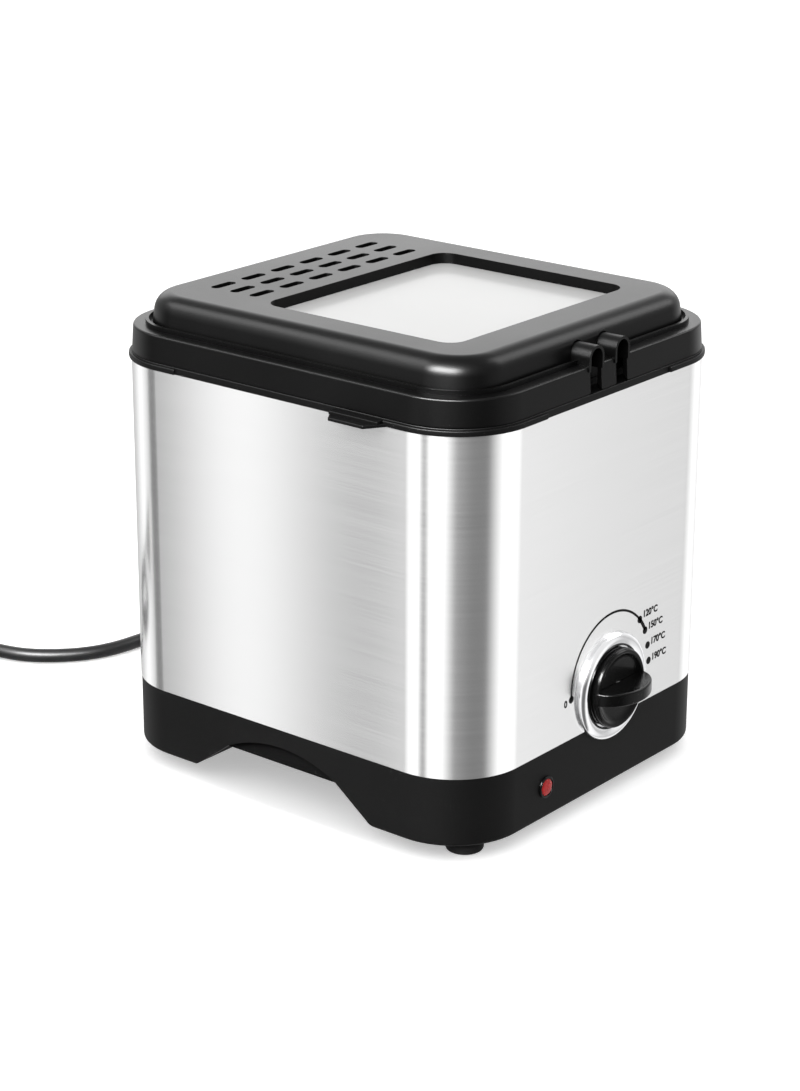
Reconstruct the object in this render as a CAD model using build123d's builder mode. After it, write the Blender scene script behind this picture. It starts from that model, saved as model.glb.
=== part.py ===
from build123d import *
import os
from math import cos, pi, radians, tan

# Compact electric deep fryer: a brushed steel wrap clamped between a moulded base and a
# moulded collar, an oil pot hung in the collar, a wire basket and a lift-off lid.
# The origin is on the table, under the middle of the fryer's box. Front is -Y, +Z is up.

os.makedirs("parts", exist_ok=True)

# ---------------------------------------------------------------- driving dimensions (mm)
width = 190.0
depth = 208.0
corner_radius = 34.0

foot_height = 6.5
base_height = 31.5
steel_height = 151.0
collar_band = 3.5
skirt_height = 11.7
dome_height = 13.8

fit_gap = 0.3
sheet = 0.8
running_gap = 0.05

base_inset = 0.3
base_wall = 3.0
base_floor = 2.5
upstand_height = 5.0
arch_half_width = 52.0
arch_shoulder_half = 31.0
arch_shoulder_height = 15.5
arch_height = 22.9
tunnel_roof = 13.5

foot_radius = 8.4
foot_inset_x = 21.0
foot_inset_y = 17.5
tie_screw_radius = 1.75
tie_head_radius = 3.6
tie_head_height = 2.4
tie_boss_radius = 5.5

collar_flange = 18.0
pot_inset = 20.0
pot_corner = 20.0
pot_wall = 1.0
pot_depth = 105.0
pot_flange_inset = 12.3
bead_height = 2.6
bead_proud = 1.2
bead_start_x = 45.0
bead_start_y = 58.0
tab_reach = 9.5
tab_root = 31.0
tab_tip = 18.5
tab_offset_y = -46.0
tab_thickness = 2.5

heater_margin_x = 19.0
heater_margin_y = 21.0
heater_corner = 22.0
heater_thickness = 4.0
element_radius = 3.3
element_gap = 0.05
element_inset = 14.0
element_drop = 22.0
shield_sheet = 0.6
shield_drop = 14.0
stud_radius = 3.0

knob_x = 6.9
knob_height = 54.2
knob_radius = 18.1
knob_disc_top = 6.4
knob_bar_reach = 17.5
knob_bar_thickness = 6.0
knob_bar_half = 18.0
bezel_radius = 24.7
bezel_height = 3.4
bezel_web = 1.0
bush_radius = 5.0
shaft_radius = 3.0

lamp_x = -39.3
lamp_height = 21.4
lamp_rim_radius = 5.0
lamp_lens_radius = 3.9
lamp_body_radius = 4.4

skirt_inset = 0.3
skirt_draft = 4.0
lid_wall = 2.5
ledge_thickness = 2.5
ledge_reach = 16.0
shoulder_inset = 6.5
shoulder_wall = 1.5
shoulder_height = 2.0
rib_inset = 8.5
rib_wall = 2.5
lid_seal_height = 2.6
dome_inset = 9.7
dome_wall = 2.2
dome_draft = 8.0
dome_round = 8.5
tunnel_spacing = 18.8
tunnel_radius = 5.3
tunnel_wall = 1.25
tunnel_reach = 12.2
tunnel_spring = 3.1
window_side_margin = 32.5
window_front_margin = 35.25
window_rear_margin = 68.25
window_corner = 8.0
window_recess = 5.0
pane_thickness = 4.0
pane_lap = 2.5
seal_wall = 3.0
vent_columns = 6
vent_rows = 3
vent_length = 13.8
vent_width = 4.6
vent_pitch_x = 19.8
vent_pitch_y = 11.4
vent_rear_margin = 44.6
lid_boss_radius = 3.8
lid_pad_radius = 8.0
lid_pad_overlap = 1.3137
lid_screw_radius = 1.4

basket_gap = 6.0
basket_wall = 1.2
basket_lift_off = 10.0
basket_height = 82.0
rim_wire_radius = 2.0
handle_spacing = 18.8
handle_wire_radius = 2.0
handle_length = 110.0
grip_length = 72.0
grip_width = 26.0
grip_thickness = 10.0
ear_thickness = 1.5

cord_radius = 3.4
cord_exit_x = 45.0
cord_exit_height = 20.0
boot_length = 22.0
boot_radius = 6.0
gland_flange_radius = 8.5
gland_flange = 2.0
coil_radius = 38.0
coil_section = 13.8
coil_lead = 28.0
cord_reach_x = 96.6
cord_reach_y = 125.9
plug_radius = 18.5
plug_body = 34.0
plug_boot = 16.0
pin_radius = 2.4
pin_length = 19.0
pin_spacing = 19.0

# ---------------------------------------------------------------- heights and planes
base_bottom = foot_height
base_top = base_bottom + base_height
steel_top = base_top + steel_height
skirt_bottom = steel_top + collar_band
collar_top = skirt_bottom - fit_gap
ledge_top = skirt_bottom + skirt_height
lid_top = ledge_top + dome_height
pot_flange_bottom = collar_top - pot_wall
pot_bottom = collar_top - pot_depth

# The knob stands out in front further than the corner beads do behind, so the fryer's middle
# lies behind the middle of its box by half the difference.
body_y = (knob_bar_reach - bead_proud) / 2
front_y = body_y - depth / 2
back_y = body_y + depth / 2
knob_y = front_y - bezel_web


def level(height):
    """Horizontal plane at a height above the table, centred on the fryer's body."""
    return Plane((0, body_y, height))


def front_plane(distance):
    """Vertical plane a distance in front of the steel's face, looking at it from outside."""
    return Plane((0, front_y - distance, 0), x_dir=(1, 0, 0), z_dir=(0, -1, 0))


def back_plane(distance):
    """Vertical plane a distance behind the steel's rear face, facing backwards."""
    return Plane((0, back_y + distance, 0), x_dir=(-1, 0, 0), z_dir=(0, 1, 0))


def side_plane(x):
    """Vertical plane across the fryer, local x along +Y and local y up from the base's bottom."""
    return Plane((x, body_y, base_bottom), x_dir=(0, 1, 0), z_dir=(1, 0, 0))


def outline(inset, mode=Mode.ADD):
    """The fryer's plan outline, drawn in by an inset."""
    RectangleRounded(width - 2 * inset, depth - 2 * inset, corner_radius - inset, mode=mode)


def band(bottom, top, outer, inner, mode=Mode.ADD):
    """A wall that follows the plan outline between two insets."""
    with BuildSketch(level(bottom)) as wall_plan:
        outline(outer)
        outline(inner, mode=Mode.SUBTRACT)
    extrude(wall_plan.sketch, amount=top - bottom, mode=mode)


def corners(x, y):
    """Four places, one near each corner, given from the body's middle."""
    return [(x, y), (-x, y), (x, -y), (-x, -y)]


def finish(piece, name):
    """Labels a finished piece and writes it as one STEP file."""
    piece.label = name
    export_step(piece, f"parts/{name}.step")


# ---------------------------------------------------------------- base, feet and tie screws
foot_places = corners(width / 2 - foot_inset_x, depth / 2 - foot_inset_y)


def arch():
    """Side profile of the tunnel under the base: two slopes and a crowned top."""
    with BuildLine() as arch_line:
        Polyline(
            (-arch_shoulder_half, arch_shoulder_height),
            (-arch_half_width, 0),
            (-arch_half_width, -foot_height),
            (arch_half_width, -foot_height),
            (arch_half_width, 0),
            (arch_shoulder_half, arch_shoulder_height),
        )
        ThreePointArc(
            (arch_shoulder_half, arch_shoulder_height),
            (0, arch_height),
            (-arch_shoulder_half, arch_shoulder_height),
        )
    make_face(arch_line.edges())


def flat_roof():
    """Takes off the part of the arch above the tunnel's flat roof."""
    with Locations((0, tunnel_roof + arch_height)):
        Rectangle(4 * arch_half_width, 2 * arch_height, mode=Mode.SUBTRACT)


# The space inside the base, above its floor, above the tunnel's own wall and inside the webs
# that close the arches above the tunnel's roof.
arch_depth = base_inset + base_wall
with BuildPart() as base_space:
    with BuildSketch(level(base_bottom + base_floor)):
        outline(base_inset + base_wall)
    extrude(amount=base_height + upstand_height)
    with BuildSketch(side_plane(-width / 2)):
        arch()
        flat_roof()
        offset(amount=base_floor, kind=Kind.INTERSECTION)
    extrude(amount=width, mode=Mode.SUBTRACT)
    for side in (-1, 1):
        with BuildSketch(side_plane(side * width / 2)):
            arch()
            offset(amount=base_floor, kind=Kind.INTERSECTION)
        extrude(amount=-side * (arch_depth + base_floor), mode=Mode.SUBTRACT)

with BuildPart() as base_tray:
    with BuildSketch(level(base_bottom)):
        outline(base_inset)
    extrude(amount=base_height)
    fillet(base_tray.faces().sort_by(Axis.Z)[0].edges(), radius=1.5)
    band(base_top, base_top + upstand_height, sheet + fit_gap, base_inset + base_wall)
    add(base_space.part, mode=Mode.SUBTRACT)
    with BuildSketch(side_plane(-width / 2)):
        arch()
        flat_roof()
    extrude(amount=width, mode=Mode.SUBTRACT)
    for side in (-1, 1):
        with BuildSketch(side_plane(side * width / 2)):
            arch()
        extrude(amount=-side * arch_depth, mode=Mode.SUBTRACT)
    with BuildSketch(level(base_bottom)):
        with Locations(foot_places):
            Circle(tie_boss_radius)
    extrude(amount=base_height)
    with BuildSketch(level(base_bottom)):
        with Locations(foot_places):
            Circle(tie_screw_radius + running_gap)
    extrude(amount=base_height, mode=Mode.SUBTRACT)
    with BuildSketch(front_plane(0)):
        with Locations((lamp_x, lamp_height)):
            Circle(lamp_body_radius + running_gap)
    extrude(amount=-base_inset - base_wall, mode=Mode.SUBTRACT)
    with BuildSketch(back_plane(0)):
        with Locations((-cord_exit_x, cord_exit_height)):
            Circle(boot_radius + running_gap)
    extrude(amount=-base_inset - base_wall, mode=Mode.SUBTRACT)
finish(base_tray.part, "base_tray")

with BuildPart() as feet:
    with BuildSketch(level(0)):
        with Locations(foot_places):
            Circle(foot_radius)
    extrude(amount=foot_height)
    fillet(feet.faces().group_by(Axis.Z)[0].edges(), radius=0.8)
    with BuildSketch(level(0)):
        with Locations(foot_places):
            Circle(tie_head_radius + fit_gap)
    extrude(amount=foot_height / 2, mode=Mode.SUBTRACT)
    with BuildSketch(level(0)):
        with Locations(foot_places):
            Circle(tie_screw_radius + running_gap)
    extrude(amount=foot_height, mode=Mode.SUBTRACT)
finish(feet.part, "feet")

tie_screw_top = steel_top - 8.0
with BuildPart() as tie_screws:
    with BuildSketch(level(foot_height / 2 - tie_head_height)):
        with Locations(foot_places):
            Circle(tie_head_radius)
    extrude(amount=tie_head_height)
    fillet(tie_screws.faces().group_by(Axis.Z)[0].edges(), radius=0.7)
    with BuildSketch(level(foot_height / 2)):
        with Locations(foot_places):
            Circle(tie_screw_radius)
    extrude(amount=tie_screw_top - foot_height / 2)
finish(tie_screws.part, "tie_screws")

# ---------------------------------------------------------------- steel wrap
with BuildPart() as housing:
    band(base_top, steel_top, 0, sheet)
    with BuildSketch(front_plane(0)):
        with Locations((knob_x, knob_height)):
            Circle(bush_radius + running_gap)
    extrude(amount=-sheet, mode=Mode.SUBTRACT)
finish(housing.part, "housing")

# ---------------------------------------------------------------- collar and side tabs
collar_post_bottom = steel_top - 30.0
pot_width = width - 2 * pot_inset
pot_length = depth - 2 * pot_inset

with BuildPart() as collar:
    with BuildSketch(level(steel_top)):
        outline(0)
        RectangleRounded(
            pot_width + 2 * fit_gap, pot_length + 2 * fit_gap, pot_corner + fit_gap, mode=Mode.SUBTRACT
        )
    extrude(amount=collar_top - steel_top)
    with BuildSketch(level(pot_flange_bottom)):
        outline(pot_flange_inset - fit_gap)
    extrude(amount=pot_wall, mode=Mode.SUBTRACT)
    band(steel_top - 10.0, steel_top, sheet + fit_gap, sheet + fit_gap + 2.0)
    with BuildSketch(level(steel_top)):
        outline(-bead_proud)
        outline(0, mode=Mode.SUBTRACT)
        Rectangle(2 * bead_start_x, depth + 4 * bead_proud, mode=Mode.SUBTRACT)
        Rectangle(width + 4 * bead_proud, 2 * bead_start_y, mode=Mode.SUBTRACT)
    extrude(amount=bead_height)
    for side in (-1, 1):
        with BuildSketch(level(steel_top)):
            with BuildLine():
                Polyline(
                    (side * width / 2, tab_offset_y - tab_root / 2),
                    (side * (width / 2 + tab_reach), tab_offset_y - tab_tip / 2),
                    (side * (width / 2 + tab_reach), tab_offset_y + tab_tip / 2),
                    (side * width / 2, tab_offset_y + tab_root / 2),
                    close=True,
                )
            make_face()
        extrude(amount=tab_thickness)
    with BuildSketch(level(collar_post_bottom)):
        with Locations(foot_places):
            Circle(tie_boss_radius)
    extrude(amount=steel_top - collar_post_bottom)
    with BuildSketch(level(collar_post_bottom)):
        with Locations(foot_places):
            Circle(tie_screw_radius + running_gap)
    extrude(amount=tie_screw_top + 1.0 - collar_post_bottom, mode=Mode.SUBTRACT)
finish(collar.part, "collar")

# ---------------------------------------------------------------- oil pot
pot_bottom_round = 12.0

with BuildPart() as pot_space:
    with BuildSketch(level(pot_bottom + pot_wall)):
        RectangleRounded(pot_width - 2 * pot_wall, pot_length - 2 * pot_wall, pot_corner - pot_wall)
    extrude(amount=pot_depth)
    fillet(pot_space.faces().sort_by(Axis.Z)[0].edges(), radius=pot_bottom_round - pot_wall)

with BuildPart() as inner_pot:
    with BuildSketch(level(pot_bottom)):
        RectangleRounded(pot_width, pot_length, pot_corner)
    extrude(amount=pot_depth)
    fillet(inner_pot.faces().sort_by(Axis.Z)[0].edges(), radius=pot_bottom_round)
    with BuildSketch(level(pot_flange_bottom)):
        outline(pot_flange_inset)
    extrude(amount=pot_wall)
    add(pot_space.part, mode=Mode.SUBTRACT)
finish(inner_pot.part, "inner_pot")

# ---------------------------------------------------------------- heater under the pot
heater_width = pot_width - 2 * heater_margin_x
heater_depth = pot_length - 2 * heater_margin_y
heater_bottom = pot_bottom - heater_thickness
element_z = heater_bottom - element_gap - element_radius
shield_top = heater_bottom - shield_drop
loop_x = heater_width / 2 - element_inset
loop_y = heater_depth / 2 - element_inset
terminal_x = 12.0
loop_bend = 20.0
drop_bend = 8.0

with BuildPart() as heater_plate:
    with BuildSketch(level(heater_bottom)):
        RectangleRounded(heater_width, heater_depth, heater_corner)
    extrude(amount=heater_thickness)
finish(heater_plate.part, "heater_plate")

with BuildPart() as heating_element:
    with BuildLine() as element_line:
        FilletPolyline(
            (-terminal_x, body_y + loop_y, element_z - element_drop),
            (-terminal_x, body_y + loop_y, element_z),
            (-loop_x, body_y + loop_y, element_z),
            (-loop_x, body_y - loop_y, element_z),
            (loop_x, body_y - loop_y, element_z),
            (loop_x, body_y + loop_y, element_z),
            (terminal_x, body_y + loop_y, element_z),
            (terminal_x, body_y + loop_y, element_z - element_drop),
            radius=[drop_bend, loop_bend, loop_bend, loop_bend, loop_bend, drop_bend],
        )
    with BuildSketch(Plane((-terminal_x, body_y + loop_y, element_z - element_drop))):
        Circle(element_radius)
    sweep(path=element_line.line)
finish(heating_element.part, "heating_element")

with BuildPart() as heat_shield:
    with BuildSketch(level(shield_top - shield_sheet)):
        RectangleRounded(heater_width, heater_depth, heater_corner)
        Circle(stud_radius + running_gap, mode=Mode.SUBTRACT)
        with Locations((-terminal_x, loop_y), (terminal_x, loop_y)):
            Circle(element_radius + 2.0, mode=Mode.SUBTRACT)
    extrude(amount=shield_sheet)
finish(heat_shield.part, "heat_shield")

stud_nut_height = 5.0
with BuildPart() as centre_stud:
    with BuildSketch(level(shield_top - shield_sheet - stud_nut_height - 2.0)):
        Circle(stud_radius)
    extrude(amount=heater_bottom - shield_top + shield_sheet + stud_nut_height + 2.0)
finish(centre_stud.part, "centre_stud")

with BuildPart() as stud_nut:
    with BuildSketch(level(shield_top - shield_sheet - stud_nut_height)):
        RegularPolygon(radius=1.9 * stud_radius, side_count=6)
        Circle(stud_radius + running_gap, mode=Mode.SUBTRACT)
    extrude(amount=stud_nut_height)
finish(stud_nut.part, "stud_nut")

cutout_radius = 7.5
cutout_height = 7.0
cutout_x = 22.0
with BuildPart() as thermal_cutout:
    with BuildSketch(level(heater_bottom - cutout_height)):
        with Locations((cutout_x, 0)):
            Circle(cutout_radius)
    extrude(amount=cutout_height)
    fillet(thermal_cutout.faces().sort_by(Axis.Z)[0].edges(), radius=0.8)
finish(thermal_cutout.part, "thermal_cutout")

# ---------------------------------------------------------------- thermostat, its bracket and bulb
bracket_sheet = 1.2
bracket_width = 44.0
bracket_y = front_y + base_inset + base_wall + fit_gap
compartment_floor = base_bottom + base_floor
thermostat_width = 32.0
thermostat_height = 30.0
thermostat_depth = 26.0
thermostat_y = bracket_y + bracket_sheet
bracket_top = knob_height + thermostat_height / 2 + 2.0
bracket_foot = 14.0
bush_front = knob_y - 2.6

with BuildPart() as thermostat_bracket:
    with BuildSketch(Plane((0, bracket_y, 0), x_dir=(1, 0, 0), z_dir=(0, -1, 0))):
        with Locations((knob_x, (compartment_floor + bracket_top) / 2)):
            Rectangle(bracket_width, bracket_top - compartment_floor)
        with Locations((knob_x, knob_height)):
            Circle(bush_radius + running_gap, mode=Mode.SUBTRACT)
    extrude(amount=-bracket_sheet)
    with BuildSketch(Plane((0, 0, compartment_floor))):
        with Locations((knob_x, bracket_y + bracket_foot / 2)):
            Rectangle(bracket_width, bracket_foot)
    extrude(amount=bracket_sheet)
finish(thermostat_bracket.part, "thermostat_bracket")

with BuildPart() as thermostat_body:
    with BuildSketch(Plane((0, thermostat_y, 0), x_dir=(1, 0, 0), z_dir=(0, -1, 0))):
        with Locations((knob_x, knob_height)):
            RectangleRounded(thermostat_width, thermostat_height, 3.0)
    extrude(amount=-thermostat_depth)
    with BuildSketch(Plane((0, thermostat_y, 0), x_dir=(1, 0, 0), z_dir=(0, -1, 0))):
        with Locations((knob_x, knob_height)):
            Circle(bush_radius)
    extrude(amount=thermostat_y - bush_front)
    with BuildSketch(Plane((0, bush_front, 0), x_dir=(1, 0, 0), z_dir=(0, -1, 0))):
        with Locations((knob_x, knob_height)):
            Circle(shaft_radius + running_gap)
    extrude(amount=-(thermostat_y - bush_front) - 10.0, mode=Mode.SUBTRACT)
finish(thermostat_body.part, "thermostat_body")

shaft_front = front_y - 14.0
with BuildPart() as thermostat_shaft:
    with BuildSketch(Plane((0, shaft_front, 0), x_dir=(1, 0, 0), z_dir=(0, -1, 0))):
        with Locations((knob_x, knob_height)):
            Circle(shaft_radius)
    extrude(amount=-(thermostat_y - shaft_front) - 9.0)
finish(thermostat_shaft.part, "thermostat_shaft")

with BuildPart() as bezel_nut:
    with BuildSketch(Plane((0, knob_y, 0), x_dir=(1, 0, 0), z_dir=(0, -1, 0))):
        with Locations((knob_x, knob_height)):
            RegularPolygon(radius=8.0, side_count=6)
            Circle(bush_radius + running_gap, mode=Mode.SUBTRACT)
    extrude(amount=2.3)
finish(bezel_nut.part, "bezel_nut")

bulb_radius = 2.5
bulb_half = 26.0
bulb_y = body_y - loop_y + 23.0
bulb_z = heater_bottom - bulb_radius - element_gap
capillary_radius = 0.9
capillary_y = thermostat_y + thermostat_depth - 6.0
with BuildPart() as sensor_bulb:
    with BuildSketch(Plane((-bulb_half, bulb_y, bulb_z), x_dir=(0, 1, 0), z_dir=(1, 0, 0))):
        Circle(bulb_radius)
    extrude(amount=2 * bulb_half)
    with BuildLine() as capillary_line:
        FilletPolyline(
            (-bulb_half + 1.0, bulb_y, bulb_z),
            (-bulb_half - 5.0, bulb_y, bulb_z),
            (-bulb_half - 5.0, bulb_y, shield_top + 4.0),
            (-bulb_half - 5.0, capillary_y, shield_top + 4.0),
            (knob_x, capillary_y, shield_top + 4.0),
            (knob_x, capillary_y, knob_height + thermostat_height / 2),
            radius=1.5,
        )
    with BuildSketch(Plane((-bulb_half + 1.0, bulb_y, bulb_z), x_dir=(0, 1, 0), z_dir=(-1, 0, 0))):
        Circle(capillary_radius)
    sweep(path=capillary_line.line)
finish(sensor_bulb.part, "sensor_bulb")

# ---------------------------------------------------------------- bezel ring and knob
with BuildPart() as bezel_ring:
    with BuildSketch(Plane((knob_x, front_y, knob_height), x_dir=(1, 0, 0), z_dir=(0, 0, 1))):
        with BuildLine():
            Line((bush_radius + running_gap, 0), (bezel_radius, 0))
            Line((bezel_radius, 0), (bezel_radius, -0.8))
            ThreePointArc(
                (bezel_radius, -0.8),
                (bezel_radius - 1.0, -bezel_height + 0.7),
                (bezel_radius - 3.0, -bezel_height),
            )
            Line((bezel_radius - 3.0, -bezel_height), (knob_radius + 0.5, -bezel_height + 1.0))
            Line((knob_radius + 0.5, -bezel_height + 1.0), (knob_radius + 0.5, -bezel_web))
            Line((knob_radius + 0.5, -bezel_web), (bush_radius + running_gap, -bezel_web))
            Line((bush_radius + running_gap, -bezel_web), (bush_radius + running_gap, 0))
        make_face()
    revolve(axis=Axis((knob_x, front_y, knob_height), (0, 1, 0)))
finish(bezel_ring.part, "bezel_ring")

knob_back = bezel_web + 0.4
knob_hollow = 4.0
with BuildPart() as knob:
    with BuildSketch(front_plane(knob_back)):
        with Locations((knob_x, knob_height)):
            Circle(knob_radius)
    extrude(amount=knob_disc_top - knob_back)
    fillet(knob.faces().sort_by(Axis.Y)[0].edges(), radius=1.4)
    with BuildSketch(Plane((knob_x, front_y, knob_height - knob_bar_thickness / 2))):
        with BuildLine():
            Line((-knob_bar_half, -knob_disc_top + 1.6), (knob_bar_half, -knob_disc_top + 1.6))
            EllipticalCenterArc(
                (0, -knob_disc_top + 1.6),
                knob_bar_half,
                knob_bar_reach - knob_disc_top + 1.6,
                start_angle=180,
                arc_size=180,
            )
        make_face()
    extrude(amount=knob_bar_thickness)
    with BuildSketch(front_plane(knob_back)):
        with Locations((knob_x, knob_height)):
            Circle(9.0)
    extrude(amount=knob_hollow - knob_back, mode=Mode.SUBTRACT)
    with BuildSketch(front_plane(knob_back)):
        with Locations((knob_x, knob_height)):
            Circle(shaft_radius)
    extrude(amount=14.0 - knob_back, mode=Mode.SUBTRACT)
finish(knob.part, "knob")

# ---------------------------------------------------------------- pilot lamp
lamp_depth = 20.0
with BuildPart() as pilot_lamp:
    with BuildSketch(front_plane(-lamp_depth)):
        with Locations((lamp_x, lamp_height)):
            Circle(lamp_body_radius)
    extrude(amount=lamp_depth)
    with BuildSketch(front_plane(-base_inset)):
        with Locations((lamp_x, lamp_height)):
            Circle(lamp_rim_radius)
    extrude(amount=1.0)
    with BuildSketch(front_plane(-lamp_depth / 2)):
        with Locations((lamp_x, lamp_height)):
            Circle(lamp_lens_radius)
    extrude(amount=lamp_depth, mode=Mode.SUBTRACT)
finish(pilot_lamp.part, "pilot_lamp")

with BuildPart() as pilot_lens:
    with BuildSketch(front_plane(-lamp_depth / 2)):
        with Locations((lamp_x, lamp_height)):
            Circle(lamp_lens_radius)
    extrude(amount=lamp_depth / 2 + 1.0)
    fillet(pilot_lens.faces().sort_by(Axis.Y)[0].edges(), radius=1.5)
finish(pilot_lens.part, "pilot_lens")

# ---------------------------------------------------------------- terminal block and wires
block_width = 34.0
block_depth = 14.0
block_height = 13.0
block_y = back_y - base_inset - base_wall - 16.0
with BuildPart() as terminal_block:
    with BuildSketch(Plane((cord_exit_x, block_y, compartment_floor))):
        RectangleRounded(block_width, block_depth, 1.5)
    extrude(amount=block_height)
    with BuildSketch(Plane((cord_exit_x, block_y, compartment_floor + block_height))):
        with GridLocations(block_width / 3, block_depth / 2, 3, 2):
            Circle(1.8)
    extrude(amount=-4.0, mode=Mode.SUBTRACT)
finish(terminal_block.part, "terminal_block")

wire_radius = 1.2
wire_gap = 0.1
wire_base = compartment_floor + block_height + wire_gap
wire_level = base_top + 6.0
wire_bend = 6.0
terminal_end = element_z - element_drop - wire_gap
thermostat_back = thermostat_y + thermostat_depth
cutout_bottom = heater_bottom - cutout_height - wire_gap
wire_routes = [
    # supply to the thermostat
    [
        (cord_exit_x - 11.0, block_y, wire_base),
        (cord_exit_x - 11.0, block_y, wire_level),
        (knob_x + 9.0, block_y, wire_level),
        (knob_x + 9.0, thermostat_back + wire_gap, wire_level),
    ],
    # supply to the heating element
    [
        (cord_exit_x, block_y, wire_base),
        (cord_exit_x, block_y, wire_level + 5.0),
        (terminal_x, block_y, wire_level + 5.0),
        (terminal_x, body_y + loop_y, wire_level + 5.0),
        (terminal_x, body_y + loop_y, terminal_end),
    ],
    # heating element to the thermostat
    [
        (-terminal_x, body_y + loop_y, terminal_end),
        (-terminal_x, body_y + loop_y, wire_level),
        (-terminal_x, thermostat_back + 22.0, wire_level),
        (knob_x - 9.0, thermostat_back + 22.0, wire_level),
        (knob_x - 9.0, thermostat_back + wire_gap, wire_level),
    ],
    # pilot lamp to the thermostat
    [
        (lamp_x, front_y + lamp_depth + wire_gap, lamp_height),
        (lamp_x, front_y + lamp_depth + 12.0, lamp_height),
        (lamp_x, front_y + lamp_depth + 12.0, knob_height - 4.0),
        (knob_x - thermostat_width / 2 - wire_gap, front_y + lamp_depth + 12.0, knob_height - 4.0),
    ],
]
with BuildPart() as internal_wires:
    for route in wire_routes:
        with BuildLine() as wire_line:
            FilletPolyline(*route, radius=wire_bend)
        with BuildSketch(Plane(wire_line.line @ 0, z_dir=wire_line.line % 0)):
            Circle(wire_radius)
        sweep(path=wire_line.line)
finish(internal_wires.part, "internal_wires")

# ---------------------------------------------------------------- cord, its gland, coil and plug
with BuildPart() as cord_gland:
    with BuildSketch(Plane((cord_exit_x, back_y, cord_exit_height))):
        with BuildLine():
            Polyline(
                (0, -base_inset - base_wall - 4.0),
                (boot_radius, -base_inset - base_wall - 4.0),
                (boot_radius, 0),
                (gland_flange_radius, 0),
                (gland_flange_radius, gland_flange),
                (boot_radius, gland_flange + 1.0),
                (cord_radius + 0.8, boot_length),
                (0, boot_length),
                close=True,
            )
        make_face()
    revolve(axis=Axis((cord_exit_x, back_y, cord_exit_height), (0, 1, 0)))
finish(cord_gland.part, "cord_gland")

cord_z = cord_radius + 0.1
cord_start_y = back_y + boot_length
coil_x = cord_exit_x - cord_reach_x - coil_radius - cord_radius
coil_y = cord_start_y + cord_reach_y + coil_lead
cord_points = [
    (cord_exit_x, cord_start_y, cord_exit_height),
    (cord_exit_x, cord_start_y + 18.0, cord_exit_height),
    (cord_exit_x - 5.0, cord_start_y + 40.0, cord_z + 3.0),
    (cord_exit_x - 27.0, cord_start_y + 57.0, cord_z),
    (cord_exit_x - 65.0, cord_start_y + 60.0, cord_z),
    (cord_exit_x - 90.0, cord_start_y + 82.5, cord_z),
    (cord_exit_x - cord_reach_x, cord_start_y + 106.0, cord_z),
    (cord_exit_x - cord_reach_x, cord_start_y + cord_reach_y, cord_z),
]


def arc_radii(points):
    """Radius at each corner: 0.45 of the shorter run over the tangent of half the turn."""
    radii = []
    for before, here, after in zip(points, points[1:], points[2:]):
        run_in = Vector(here) - Vector(before)
        run_out = Vector(after) - Vector(here)
        half_turn = radians(run_in.get_angle(run_out)) / 2
        radii.append(0.45 * min(run_in.length, run_out.length) / tan(half_turn))
    return radii


cord_radii = arc_radii(cord_points)
print("cord radii", [round(radius, 1) for radius in cord_radii])

with BuildPart() as power_cord:
    with BuildLine() as cord_line:
        FilletPolyline(*cord_points, radius=cord_radii)
    with BuildSketch(Plane(cord_line.line @ 0, z_dir=cord_line.line % 0)):
        Circle(cord_radius)
    sweep(path=cord_line.line)
tube_length = sum(edge.length for edge in cord_line.edges())
print("cord tube length", round(tube_length, 1))
print("cord tube volume ratio", round(power_cord.part.volume / (pi * cord_radius**2 * tube_length), 4))
finish(power_cord.part, "power_cord")

# The coil is one solid ring with a short lead of cord at each end.
plug_start_x = coil_x - coil_radius - 6.0
plug_y = coil_y + coil_radius + cord_radius
lead_z = coil_section - cord_radius
with BuildPart() as cord_coil:
    with BuildSketch(Plane((coil_x, coil_y, 0.1))):
        Circle(coil_radius + coil_section / 2)
        Circle(coil_radius - coil_section / 2, mode=Mode.SUBTRACT)
    extrude(amount=coil_section)
    fillet(cord_coil.edges().filter_by(GeomType.CIRCLE), radius=2.5)
    with BuildSketch(Plane((cord_points[-1][0], cord_points[-1][1], cord_z), x_dir=(1, 0, 0), z_dir=(0, 1, 0))):
        Circle(cord_radius)
    extrude(amount=coil_lead)
    with BuildLine() as lead_line:
        FilletPolyline(
            (coil_x, plug_y, lead_z),
            (coil_x - 14.0, plug_y, lead_z),
            (plug_start_x + 8.0, plug_y, plug_radius),
            (plug_start_x, plug_y, plug_radius),
            radius=12.0,
        )
    with BuildSketch(Plane(lead_line.line @ 0, z_dir=lead_line.line % 0)):
        Circle(cord_radius)
    sweep(path=lead_line.line)
finish(cord_coil.part, "cord_coil")

tie_band = 1.6
tie_width = coil_section + 2 * tie_band + 1.0
tie_height = coil_section + 0.2 + tie_band
with BuildPart() as coil_tie:
    with BuildSketch(Plane((coil_x, coil_y - coil_radius, 0), x_dir=(0, 1, 0), z_dir=(1, 0, 0))):
        with Locations((0, tie_height / 2)):
            Rectangle(tie_width, tie_height)
        with Locations((0, (tie_height - tie_band) / 2)):
            Rectangle(tie_width - 2 * tie_band, tie_height - tie_band, mode=Mode.SUBTRACT)
    extrude(amount=5.0, both=True)
    fillet(coil_tie.faces().sort_by(Axis.Z)[-1].edges().filter_by(Axis.X), radius=1.2)
finish(coil_tie.part, "coil_tie")

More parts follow.
